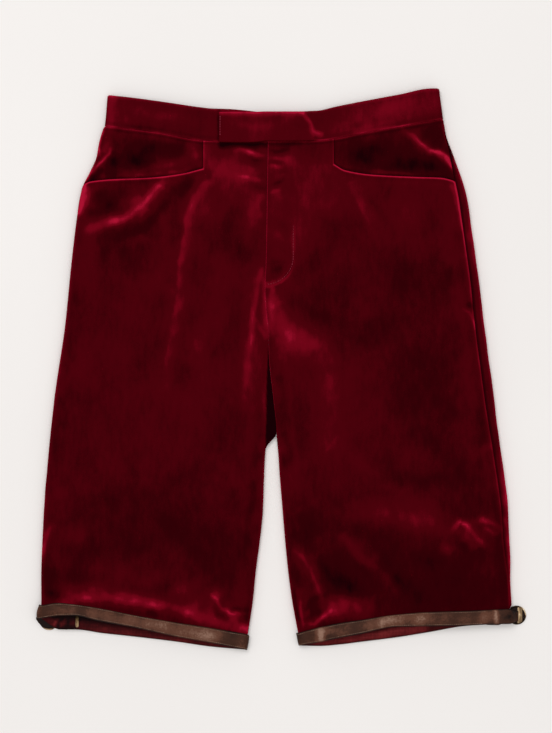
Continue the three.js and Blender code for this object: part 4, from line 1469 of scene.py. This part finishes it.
def fly_path(count: int) -> Array:
    """Points along the J-shaped edge of the fly, from the waist seam to the centre seam.

    Args:
        count: points on its straight edge; its turn, a quarter of an ellipse, has half as many.

    Returns:
        The points' x and y, a row for each.
    """
    straight = np.stack([np.full(count, FLY_EDGE), np.linspace(272, FLY_STRAIGHT, count)], axis=-1)
    centre = float(INNER[Side.LEFT].at(FLY_FOOT)) + 1
    turn = np.linspace(QUARTER, 0, count // 2)[1:]
    curve = [mix(centre, FLY_EDGE, np.sin(turn)), mix(FLY_STRAIGHT, FLY_FOOT, np.cos(turn))]
    return np.concatenate([straight, np.stack(curve, axis=-1)])


def distance_to_fly(x: Array, y: Array) -> Array:
    """Distance of each point from the fly's J, in millimetres."""
    nearest = np.full(x.shape, np.inf)
    for px, py in fly_path(40):
        nearest = np.minimum(nearest, np.hypot(x - px, np.maximum(np.abs(y - py) - 1.8, 0)))
    return nearest


def fly_fade(y: Array) -> Array:
    """1 along the fly's stitched lower half, and faint above it."""
    return mix(1.0, 0.15, smooth((y - 160) / 24))


@dataclass
class Back(Cloth):
    """A back panel: from the side seam round the outer edge, under, and up to the inseam."""

    waves: tuple[float, float, float] = (0.35, 26, 80)
    waist_groove: tuple[float, float] = (0.5, 1.8)
    seam_groove: tuple[float, float] = (0.6, 1.6)
    base: float = 0.40

    def build(self) -> Object:
        """Makes the panel as one grid.

        Returns:
            The piece's object.
        """
        section = self.section
        blocks = ((0, 0.1, 30), (0.1, 0.96, 60), (0.96, 1, 12))
        columns = np.unique(np.concatenate([np.linspace(*block) for block in blocks]))
        share = np.linspace(0, 1, 170)[:, None]

        def place(y: Array) -> Array:
            """Columns spread from the side seam round under the half to its inner edge."""
            return mix(section.side_seam(y) - SEAM_EASE, SEAM_EASE - section.length(y), columns)

        def row(x: Array, under: Array) -> Array:
            """Rows spread from the waist to the hem."""
            top = WAIST_SEAM.at(x) - 0.6 * under
            return mix(top, section.strap_foot(x, under) + HEM_INSET, share)

        points, position = section.surface(place, row, (len(share), len(columns)))
        x, y = points[..., 0], points[..., 1]
        normal = normals_of(points)
        normal *= -np.sign(normal[..., 2][position < -20].mean())
        to_side = section.side_seam(y) - position
        lift = self.wavy(x, y, 7) * smooth((position + 6) / 6) * smooth((300 - y) / 30)
        lift -= ridge(WAIST_SEAM.at(x) - y, self.waist_groove) * (position > 0)
        lift -= ridge(to_side, self.seam_groove)
        points = points + normal * lift[..., None]
        tone = pile_tone_and_light(points, normal, self.base, 17, BACK_TONES)
        # painted shade in the side seam
        tone -= 0.35 * bell(to_side, 2.4) * (position > -4)
        # the reverse is painted darker further in from the hem, where it lies in shade
        from_hem = y - section.hem("back", x)
        within = 0.5 - 0.6 * smooth((from_hem - 8) / 8) + total_of(INSIDE_TONES, x, y)
        return self.wall(points, normal, tone, within=np.clip(within, 0, 1))


@dataclass
class Facing(Cloth):
    """The pocket facing that shows above the mouth, and runs under the front's edge."""

    waves: tuple[float, float, float] = (0.45, 24, 70)
    pocket_groove: tuple[float, float] = (0.25, 1.6)
    base: float = 0.32

    def build(self) -> Object:
        """Makes the facing on the front's own surface, moved in towards the mouth.

        Returns:
            The piece's object.
        """
        section = self.section
        sign = section.sign
        start = MOUTH_START[section.side] + sign * 0.15
        columns = np.linspace(0, 1, 110)
        share = np.linspace(0, 1, 48)[:, None]

        def from_seam(x: Array, y: Array) -> Array:
            """Distance in from the side seam, as seen from above."""
            rolled = SIDE_ROLL.at(y) if section.is_left else 0.0
            return sign * (section.outer(y) - x) - rolled

        def place(y: Array) -> Array:
            """Columns spread from the side seam to the pocket's start."""
            return mix(section.side_seam(y) + SEAM_EASE, section.position_of(start, y), columns)

        def row(x: Array, under: Array) -> Array:
            """Rows spread from the waist to a line under the mouth's edge."""
            mouth = section.mouth(x)
            foot = mouth + 0.5 - (POCKET_UNDERLAP + 0.5) * smooth((from_seam(x, mouth) - 12) / 8)
            return mix(WAIST_SEAM.at(x), foot, share)

        points, position = section.surface(place, row, (len(share), len(columns)))
        x, y = points[..., 0], points[..., 1]
        seam, mouth = WAIST_SEAM.at(x), section.mouth(x)
        to_mouth = np.clip((seam - y) / (seam - mouth - 3), 0, 1)
        lift = -POCKET_DIP * smooth(to_mouth * 1.02) * smooth((from_seam(x, y) - 1) / 8)
        lift -= ridge(seam - y, self.waist_groove) + ridge(x - start, self.pocket_groove)
        upper = 1 - smooth(to_mouth * 1.6 - 0.5)
        lift += self.wavy(x, y, 21 + sign) * smooth(position / 20) * upper
        points = points + facing_up(points) * lift[..., None]
        normal = facing_up(points)
        tone = pile_tone_and_light(points, normal, self.base, 23 + sign, FACING_TONES[section.side])
        # painted highlight along the waist seam with painted shade below it; painted shade along the
        # mouth, where the front's edge shades the facing, and along the pocket's start
        tone += 0.34 * bell(seam - y, 0.9) - 0.18 * bell(seam - y - 2.6, 1.8)
        tone -= 0.24 * bell(y - mouth, 3.0) + 0.08 * bell(x - start, 1.2)
        return self.wall(points, normal, tone)


@dataclass
class Band(Panel):
    """Half of the waistband; the left half runs on over the right as the tab.

    Args:
        edge: radius of its rounded edges.
        rise_at: where its inner layer stands up behind the front one.
        rise: how far, and over what width.
        base: tone of its pile.
        light_edge: tone and width of the painted highlight along its upper edge.
    """

    edge: float = 1.4
    rise_at: float = -58.0
    rise: tuple[float, float] = (3.0, 30)
    base: float = 0.48
    light_edge: tuple[float, float] = (0.26, 2.6)

    def build(self) -> Object:
        """Makes the band along its path, with a soft fold at its top edge.

        Returns:
            The piece's object.
        """
        sign, left = self.section.sign, self.section.is_left
        radius = WAIST_HEIGHT / 2
        top_edge, seam_edge = WAIST_EDGE[self.section.side]
        turn = top_edge - sign * radius
        end = TAB_FLAT if left else TAB_UNDER - SEAM_GAP
        stretches = [
            (np.linspace(CENTRE + sign * 0.1, turn, 90)[:-1], 0.0, 0.0),
            (np.full(16, turn), 0.0, np.linspace(0, np.pi, 16)),
            (np.linspace(turn, end, 80)[1:], 0.0, np.pi),
        ]
        if left:
            lapped = TAB_UNDER + 0.6
            stretches += [
                (np.linspace(TAB_FLAT, lapped, 12)[1:], smooth(np.linspace(0, 1, 12)[1:]), np.pi),
                (np.linspace(lapped, TAB_END, 60)[1:], 1.0, np.pi),
            ]
        path = [np.stack(np.broadcast_arrays(*stretch)) for stretch in stretches]
        x, climb, bend = np.concatenate(path, axis=1)[:, None]
        share = steps(36, 1.8, NEAR_SEAM[:4])[:, None]
        extreme = mix(top_edge, seam_edge, share)
        moved = (extreme - top_edge) * smooth((sign * x - 120) / 70)
        x = x + moved + sign * radius * np.sin(bend)
        under = bend < 1e-6
        past = climb * smooth((CENTRE - x) / 20)
        top = WAIST_TOP.at(x) - past * (WAIST_TOP.at(x) - TAB_TOP)
        foot = WAIST_SEAM.at(x) - TAB_DROP * past
        y = mix(top + ridge(x - self.rise_at, self.rise) * under, foot, share)
        z = radius * (1 - np.cos(bend)) + climb * (WAISTBAND + SEAM_GAP)
        points = np.stack(np.broadcast_arrays(x, y, z), axis=-1)
        normal = np.stack(np.broadcast_arrays(sign * np.sin(bend), 0 * x, -np.cos(bend)), axis=-1)
        from_top, from_foot = share * (top - foot), (1 - share) * (top - foot)
        nearest = np.minimum(from_top, from_foot)
        if left:
            nearest = np.minimum(nearest, np.abs(x - TAB_END))
        rounding = rounded_off(nearest, self.edge)
        swell = 0.25 * undulation(x, y, 20, 70, 31 + sign) * (~under) * np.sin(np.pi * share) ** 0.5
        outer = points + normal * (swell - rounding)[..., None]
        inner = points - normal * (WAISTBAND - rounding)[..., None]
        tone = self.base + 0.04 * undulation(x, y, 25, 120, 37 + sign)
        # a painted highlight along the rounded upper edge
        tone += ridge(from_top, self.light_edge)
        broken = np.clip(0.7 + 0.5 * undulation(x, 0 * y, 10, 50, 8), 0.1, 1.2)
        # a painted light line along the waist seam, with painted shade below it
        seam_line = 0.34 * bell(from_foot - 0.5, 0.8) * broken - 0.1 * bell(from_foot - 4, 2.5)
        tone += seam_line * (climb < 0.5)  # the tab has no seam below it
        strayed = 1.4 * undulation(x, y, 10, 40, 43)
        tone += total_of(BAND_TONES, x + strayed, y) * (~under)
        if not left:
            beyond = np.minimum(x - TAB_END + 0.8, 0)
            tone -= 0.2 * bell(beyond, 1.2) * (x < 0) * (~under)  # shade under and beside the tab
        made = Shell(outer, inner, np.clip(tone, 0, 1)).build(self.name, [VELVET_FINISH])
        return self.settle(made)


def rounded_off(distance: Array, radius: float) -> Array:
    """How far an edge of a given radius falls away at a distance from it."""
    return radius * (1 - np.sqrt(1 - (1 - np.clip(distance / radius, 0, 1)) ** 2))


# the left strap's end: distance from the middle of its ring, height and width
TONGUE = (
    (1.4, 3.9, 12.4), (-0.2, 4.1, 12.5), (-1.6, 5.6, 12.7), (-3.4, 9.0, 13.4), (-5.2, 11.2, 13.9),
    (-7.6, 12.9, 14.4), (-10.2, 14.0, 15.0),
)


@dataclass
class Strap(Panel):
    """A leather strap round a hem, with its stitching.

    Args:
        edge: radius of its worn edges.
        crown: how far its face is domed.
        groove: depth and width of the groove that its stitches lie in.
        base: tone of its leather.
        painted: how much darker its edges are, and over what width.
    """

    edge: float = 0.5
    crown: float = 0.18
    groove: tuple[float, float] = (0.12, 0.45)
    base: float = 0.46
    painted: tuple[float, float] = (0.35, 0.7)

    def build(self) -> Object:
        """Makes the strap and its stitches.

        Returns:
            The piece's object.
        """
        section = self.section
        start = QUARTER * ROLL_OUTER if section.is_left else -2.4
        over = np.linspace(0, 1, 170)
        share = np.concatenate([[0, 0.02, 0.05], np.linspace(0.1, 0.9, 9), [0.95, 0.98, 1]])[:, None]

        def row(x: Array, under: Array) -> Array:
            """Rows spread across the strap."""
            return mix(section.strap_top(x, under), section.strap_foot(x, under), share)

        def front(y: Array) -> Array:
            """Columns spread over the front."""
            return mix(start, section.length(y), over)

        def back(y: Array) -> Array:
            """Columns spread back under the hem."""
            return mix(-section.length(y), -QUARTER * ROLL_OUTER - 2.3, over[1:])

        parts = [
            section.surface(place, row, (len(share), count))[0]
            for place, count in ((front, len(over)), (back, len(over) - 1))
        ]
        points = np.concatenate(parts, axis=1)
        normal = normals_of(points)
        normal *= np.sign(normal[:, 60, 2].mean())
        outer = points + normal * (LEATHER + SEAM_GAP)
        if section.is_left:
            outer, normal = self._with_tongue(outer, normal, share)
        nearest = np.minimum(share, 1 - share) * STRAP_WIDTH
        worn = rounded_off(nearest, self.edge)
        groove = ridge(nearest - STITCH_INSET, self.groove)
        inner = outer - normal * (LEATHER - worn * 0.6)[..., None]
        outer = outer + normal * (self.crown * np.sin(np.pi * share) - worn - groove)[..., None]
        x, y = outer[..., 0], outer[..., 1]
        # lighter along the middle, partly worn and partly a painted highlight on the crown; dark
        # along the painted edges
        tone = self.base + 0.14 * np.sin(np.pi * share) - ridge(nearest, self.painted)
        tone = tone + 0.09 * undulation(x, y, 18, 60, 41) + total_of(LEATHER_TONES, x, y)
        made = Shell(outer, inner, np.clip(tone, 0.02, 0.98)).build(self.name, [LEATHER_FINISH])
        self.settle(made)
        self._stitch(outer, normal, share)
        return made

    def _with_tongue(self, outer: Array, normal: Array, share: Array) -> tuple[Array, Array]:
        """Runs the strap's start on over the edge and down to the bar of its ring.

        Args:
            outer, normal: the strap's outer points and their normals.
            share: place of each row across the strap.

        Returns:
            The points and normals with the new columns before them.
        """
        x, y = RING_CENTRE[Side.LEFT]
        along = np.linspace(0, len(TONGUE) - 1, 40)
        px, pz, wide = (np.interp(along, range(len(TONGUE)), column) for column in zip(*TONGUE))
        px = x + px
        py = mix(y - 1 + (0.5 - share) * wide, outer[:, :1, 1], smooth((along - 4) / 2))
        ahead = unit(np.gradient(np.stack([px, pz], axis=-1), axis=0))
        tongue = np.stack(np.broadcast_arrays(px, py, pz), axis=-1)
        up = np.stack(np.broadcast_arrays(ahead[:, 1], 0 * py, -ahead[:, 0]), axis=-1)
        return np.concatenate([tongue, outer], axis=1), np.concatenate([up, normal], axis=1)

    def _stitch(self, outer: Array, normal: Array, share: Array) -> None:
        """Sews along both edges of the strap's front."""
        shown = (outer[0, :, 0] < 247) & (normal[0, :, 2] > -0.2)
        rows = []
        for inset in (STITCH_INSET, STRAP_WIDTH - STITCH_INSET):
            k = np.abs(share[:, 0] * STRAP_WIDTH - inset).argmin()
            rows.append((outer[k][shown], normal[k][shown]))
        name = f"{self.name}_stitching"
        Stitching(name, (), "leather", BROWN_THREAD, 1.6, 0.34, 2.3).build(rows)


def unit(vectors: Array) -> Array:
    """The vectors, each made 1 long."""
    return vectors / np.linalg.norm(vectors, axis=-1, keepdims=True)


@dataclass
class Stitching(Piece):
    """Small stitches, each a short five-sided thread that dips in at its ends.

    Args:
        finish: the thread's finish.
        length, radius: one stitch's size in millimetres.
        pitch: distance between stitches.
    """

    finish: Finish
    length: float
    radius: float
    pitch: float

    def build(self, rows: Sequence[tuple[Array, Array]]) -> Object:
        """Sews along rows of points.

        Args:
            rows: points in millimetres and the surface's normals there.

        Returns:
            The piece's object.
        """
        at, ahead, up = (np.concatenate(part) for part in zip(*(self._spaced(*row) for row in rows)))
        side = np.cross(ahead, up)
        along = np.array([-0.5, -0.3, 0.3, 0.5]) * self.length
        thick = np.array([[0.35], [1.0], [1.0], [0.35]]) * self.radius
        drop = np.array([[-0.9], [0.35], [0.35], [-0.9]]) * self.radius
        turn = np.arange(5) * 2 * np.pi / 5
        points = (
            at[:, None, None]
            + ahead[:, None, None] * along[:, None, None]
            + up[:, None, None] * (drop + thick * np.sin(turn))[..., None]
            + side[:, None, None] * (thick * np.cos(turn))[..., None]
        )
        index = np.arange(points[..., 0].size).reshape(points.shape[:3])
        first, last = index[:, 0], index[:, -1]
        quads = [tube_faces(index), first[:, [0, 1, 2, 3]], last[:, [3, 2, 1, 0]]]
        fills = [first[:, [0, 3, 4]], last[:, [4, 3, 0]]]
        faces = [*np.concatenate(quads).tolist(), *np.concatenate(fills).tolist()]
        mesh = bpy.data.meshes.new(self.name)
        mesh.from_pydata((points.reshape(-1, 3) * MM).tolist(), [], faces)
        mesh.polygons.foreach_set("use_smooth", np.ones(len(faces), bool))
        mesh.update()
        return self.settle(link(self.name, mesh, np.full(index.size, 0.5), [self.finish]))

    def _spaced(self, path: Array, normal: Array) -> tuple[Array, Array, Array]:
        """Points spaced evenly along a path, by its run in millimetres.

        Args:
            path, normal: its points and the surface's normals there.

        Returns:
            The points, their unit directions and their unit normals.
        """
        run = np.concatenate([[0], np.cumsum(np.linalg.norm(np.diff(path, axis=0), axis=-1))])
        places = np.arange(self.pitch, run[-1] - self.pitch, self.pitch)
        at, up = (
            np.stack([np.interp(places, run, column) for column in part.T], axis=-1)
            for part in (path, normal)
        )
        return at, unit(np.gradient(at, axis=0)), unit(up)


def seen_from_above(x: Array, y: Array, z: Array | float) -> tuple[Array, Array]:
    """A row of points for stitches on a level surface, with their upward normals."""
    points = np.stack(np.broadcast_arrays(x, y, z), axis=-1)
    return points, np.tile([0.0, 0.0, 1.0], (len(points), 1))


def tab_row() -> tuple[Array, Array]:
    """The thread down the end of the waist tab."""
    height = WAIST_HEIGHT + WAISTBAND + SEAM_GAP + REST_GAP
    return seen_from_above(TAB_END + 1.5, np.linspace(TAB_TOP - 3, 276, 40), height)


def fly_row() -> tuple[Array, Array]:
    """The thread along the fly's J, on the front's own surface."""
    section = Section(Side.LEFT)
    x, y = fly_path(160).T
    x, y = x[y < 174], y[y < 174]
    return seen_from_above(x, y, section.front_height(section.position_of(x, y), x, y) - 0.25)


@dataclass
class Buckle(Panel):
    """A small round brass ring with a flat bar across it.

    Args:
        radius, wire: radius of the ring's middle line, and of its wire.
        width, thick, edge: the bar's sizes.
        off_centre: distance of the bar's middle from the ring's.
        dome: how far its face rises in its middle.
    """

    radius: float = 10.5
    wire: float = 0.9
    width: float = 6.4
    thick: float = 1.3
    edge: float = 0.5
    off_centre: float = 3.6
    dome: float = 0.5

    def build(self) -> Object:
        """Makes the ring as a torus and the bar as a rounded plate.

        Returns:
            The piece's object.
        """
        sign, left = self.section.sign, self.section.is_left
        x, y = RING_CENTRE[self.section.side]
        height = self.wire + REST_GAP
        around = np.linspace(0, 2 * np.pi, 72, endpoint=False)[:, None]
        about = np.linspace(0, 2 * np.pi, 16, endpoint=False)
        reach = self.radius + self.wire * np.cos(about)
        places = (x + reach * np.cos(around), y + reach * np.sin(around))
        ring = np.stack(np.broadcast_arrays(*places, height + self.wire * np.sin(about)), axis=-1)
        index = np.arange(ring[..., 0].size).reshape(ring.shape[:2])
        ahead, up = np.roll(index, -1, axis=0), np.roll(index, -1, axis=1)
        ring_faces = np.stack([index, ahead, np.roll(ahead, -1, axis=1), up], axis=-1).reshape(-1, 4)
        bar, bar_faces = rounded_plate(self.width, 2 * self.radius - 0.6, self.thick, self.edge)
        over = np.clip(bar[:, 0] / self.width + 0.5, 0, 1)
        bar[:, 0] += self.off_centre
        reach = np.sqrt(np.clip((self.radius - 0.5) ** 2 - bar[:, 0] ** 2, 0, None))
        bar[:, 1] = np.clip(bar[:, 1], -reach, reach)
        bar[:, 2] += self.dome * np.sin(np.pi * over) * (bar[:, 2] > 0)
        bar = bar * (sign, 1, 1) + (x, y, height + 0.15)
        bar_faces = bar_faces[:, ::sign] + index.size
        points = np.concatenate([ring.reshape(-1, 3), bar])
        mesh = quads_mesh(self.name, points * MM, np.concatenate([ring_faces, bar_faces]))
        # the ring's tone: dark patina, with a painted glint on one arc and, on the left ring, painted
        # shade along the wire's inner side
        painted_highlight, worn, plate_tone = (30, 0.86, 0.62) if left else (-95, 0.6, 0.2)
        away = np.abs((around - math.radians(painted_highlight) + np.pi) % (2 * np.pi) - np.pi) + 0 * about
        brass_tone_and_light = mix(0.12, worn, smooth(1.1 - away / math.radians(56)))
        if left:
            brass_tone_and_light = brass_tone_and_light - 0.4 * smooth(-np.cos(about) * 2)
        brass_tone_and_light = np.concatenate([brass_tone_and_light.ravel(), np.full(len(bar), plate_tone)])
        return self.settle(link(self.name, mesh, brass_tone_and_light, [BRASS_FINISH]))


def rounded_plate(width: float, length: float, thick: float, edge: float) -> tuple[Array, Array]:
    """A plate with rounded edges, as a stack of rounded outlines.

    Args:
        width, length, thick: its sizes in millimetres along X, Y and Z.
        edge: radius of its edges.

    Returns:
        Points and four-cornered faces.
    """
    turn = np.linspace(0, 2 * np.pi, 48, endpoint=False)
    circle = np.stack([np.cos(turn), np.sin(turn)], axis=-1)
    outline = np.sign(circle) * np.abs(circle) ** 0.35
    bend = np.linspace(-QUARTER, QUARTER, 9)
    half = np.array([width, length]) / 2 - edge * (1 - np.cos(bend))[:, None]
    half = np.pad(half, ((1, 1), (0, 0)))
    height = np.sign(bend) * (thick / 2 - edge) + edge * np.sin(bend)
    height = np.concatenate([[-thick / 2], height, [thick / 2]])
    flat = half[:, None] * outline
    points = np.dstack([flat, np.broadcast_to(height[:, None], flat.shape[:2])])
    index = np.arange(flat[..., 0].size).reshape(flat.shape[:2])
    return points.reshape(-1, 3), tube_faces(index)


@dataclass
class Bar(Piece):
    """The brass bar on the inside of the right back hem.

    Args:
        width, length, thick, edge: its sizes.
        centre: its middle.
        slope: how much it drops for each millimetre towards the waist.
    """

    width: float = 4.2
    length: float = 25.4
    thick: float = 1.6
    edge: float = 0.7
    centre: tuple[float, float, float] = (-245.4, -296.7, 7.2)
    slope: float = 0.02

    def build(self) -> Object:
        """Makes the bar as a rounded plate, tilted to lie on the hem.

        Returns:
            The piece's object.
        """
        points, faces = rounded_plate(self.width, self.length, self.thick, self.edge)
        points[:, 2] -= self.slope * points[:, 1]
        points += self.centre
        # painted darker towards its upper end, which lies in shade, and lighter towards the hem
        brass_tone_and_light = 0.14 + 0.50 * smooth((-298 - points[:, 1]) / 9)
        mesh = quads_mesh(self.name, points * MM, faces)
        return self.settle(link(self.name, mesh, brass_tone_and_light, [BRASS_FINISH]))


# the straps' ends under the rings, by x: upper and lower edge and height, and their columns
UNDERLAP = {
    Side.RIGHT: (
        line(
            (-294.8, -297.6), (-291, -293), (-277, -290), (-275.6, -304.2), (-268, -308),
            (-258, -312.4),
        ),
        line(
            (-294.8, -300), (-292, -304.4), (-289.6, -307), (-286, -309.6), (-280, -311.6),
            (-274, -311.4), (-268, -312.2), (-258, -313.4),
        ),
        line((-294.8, 6.0), (-290, 4.6), (-277, 2.6), (-272, 1.2), (-258, 0.9)),
        np.linspace(-294.8, -258, 90),
    ),
    Side.LEFT: (
        line(
            (244, -294), (262, -290), (273, -290), (276, -289), (279, -287), (283.2, -286.2),
            (287.4, -287), (290, -289), (292, -292), (292.8, -295.4),
        ),
        line(
            (244, -305.2), (248, -307.6), (261, -307.8), (266, -306), (273, -303.4), (277, -303.6),
            (279, -304.6), (283.2, -305.4), (287.4, -304.6), (290, -302.6), (292, -299.6),
            (292.8, -296.2),
        ),
        line((244, 1.5), (292.6, 1.0)),
        np.linspace(244, 292.8, 100),
    ),
}


@dataclass
class Underlap(Panel):
    """The end of a strap that runs on under its ring, dark where the strap shades it."""

    def build(self) -> Object:
        """Makes the end between an upper and a lower edge, bulging a little between them.

        Returns:
            The piece's object.
        """
        upper, lower, height, x = UNDERLAP[self.section.side]
        share = np.linspace(0, 1, 16)[:, None]
        y = mix(upper.at(x), lower.at(x), share)
        z = height.at(x) + 0.6 * np.sin(np.pi * share)
        outer = np.stack(np.broadcast_arrays(x, y, z), axis=-1)
        inner = outer - (0.0, 0.0, 1.0)
        x = outer[..., 0]
        tone = 0.10 + 0.10 * undulation(x, y, 6, 20, 61) + 0.3 * bell(y + 306.4, 1.6) * (x > 240)
        made = Shell(outer, inner, np.clip(tone, 0.02, 0.9)).build(self.name, [LEATHER_FINISH])
        return self.settle(made)


# ---- the picture ----
@dataclass(frozen=True)
class Studio:
    """A pale floor, soft light from above and to the left, and a camera straight overhead.

    Args:
        distance: the camera's height in metres.
        view_height_mm: how much of the floor the picture shows.
        centre_mm: the middle of the picture.
    """

    distance: float = 2.0
    view_height_mm: float = 879.6
    centre_mm: tuple[float, float] = (-6.6, 3.6)

    def build(self) -> None:
        """Adds the floor, lights, surroundings and camera."""
        scene = bpy.context.scene
        size, below = 4.0, -0.0004
        corners = np.array([(-size, -size), (size, -size), (size, size), (-size, size)])
        points = np.column_stack([corners, np.full(4, below)])
        mesh = quads_mesh("floor", points, np.array([[0, 1, 2, 3]]))
        floor = link("floor", mesh, None, [FLOOR_FINISH])
        self._area("key", (-1.0, 1.5, 3.4), 1.6, 44.0)
        self._area("overhead", (0.5, -0.4, 3.4), 2.4, 26.0)
        world = bpy.data.worlds.new("surroundings")
        world.use_nodes = True
        background = world.node_tree.nodes["Background"]
        background.inputs["Color"].default_value = (1.0, 0.985, 0.97, 1.0)
        background.inputs["Strength"].default_value = 0.6
        scene.world = world
        data = bpy.data.cameras.new("camera")
        data.sensor_width = 36.0
        data.lens = 36.0 * (self.distance * 1000 - 8) / self.view_height_mm
        camera = bpy.data.objects.new("camera", data)
        camera.location = (self.centre_mm[0] * MM, self.centre_mm[1] * MM, self.distance)
        scene.collection.objects.link(camera)
        scene.camera = camera
        scene.view_settings.view_transform = "Standard"

    @staticmethod
    def _area(name: str, place: tuple[float, float, float], size: float, power: float) -> None:
        """Adds a square area light that faces the middle of the floor."""
        data = bpy.data.lights.new(name, "AREA")
        data.size = size
        data.energy = power
        lamp = bpy.data.objects.new(name, data)
        lamp.location = place
        x, y, z = place
        lamp.rotation_euler = (math.atan2(math.hypot(x, y), z), 0.0, math.atan2(y, x) + QUARTER)
        bpy.context.scene.collection.objects.link(lamp)


@dataclass
class Shorts:
    """The whole garment."""

    def build(self) -> None:
        for side in Side:
            self._build_half(Section(side), side.name.lower())
        Bar("hem_bar_right", ("keeper_right",), "brass").build()
        Stitching("fly_stitching", (), "velvet", RED_THREAD, 2.1, 0.28, 3.0).build([fly_row()])
        Stitching("tab_stitching", (), "velvet", PALE_THREAD, 1.9, 0.42, 3.0).build([tab_row()])

    @staticmethod
    def _build_half(section: Section, label: str) -> None:
        """Makes one side's pieces; the table also gives each sheet of cloth's flat size and area in
        metres, which are not used.
        """
        fly = ("fly",) if section.is_left else ()
        band_length = 0.50 if section.is_left else 0.45
        sheets = (
            (Front, "front", (f"front_{label}", *fly), (0.31, 0.63), 0.152),
            (Back, "back", (f"back_{label}",), (0.33, 0.66), 0.17),
            (Facing, "facing", (f"pocket_facing_{label}",), (0.155, 0.085), 0.0098),
            (Band, "waistband", (f"waistband_{label}",), (band_length, 0.037), None),
        )
        for kind, word, nodes, flat, area in sheets:
            made = kind(f"velvet_{word}_{label}", nodes, "velvet", section).build()
        Strap(f"leather_strap_{label}", (f"hem_strap_{label}",), "leather", section).build()
        Underlap(f"leather_underlap_{label}", (), "leather", section).build()
        Buckle(f"ring_buckle_{label}", (f"buckle_{label}",), "brass", section).build()


def main() -> None:
    """Builds the shorts and the studio."""
    logging.basicConfig(level=logging.INFO, format="%(message)s")
    Studio().build()
    Shorts().build()


if __name__ == "__main__":
    main()
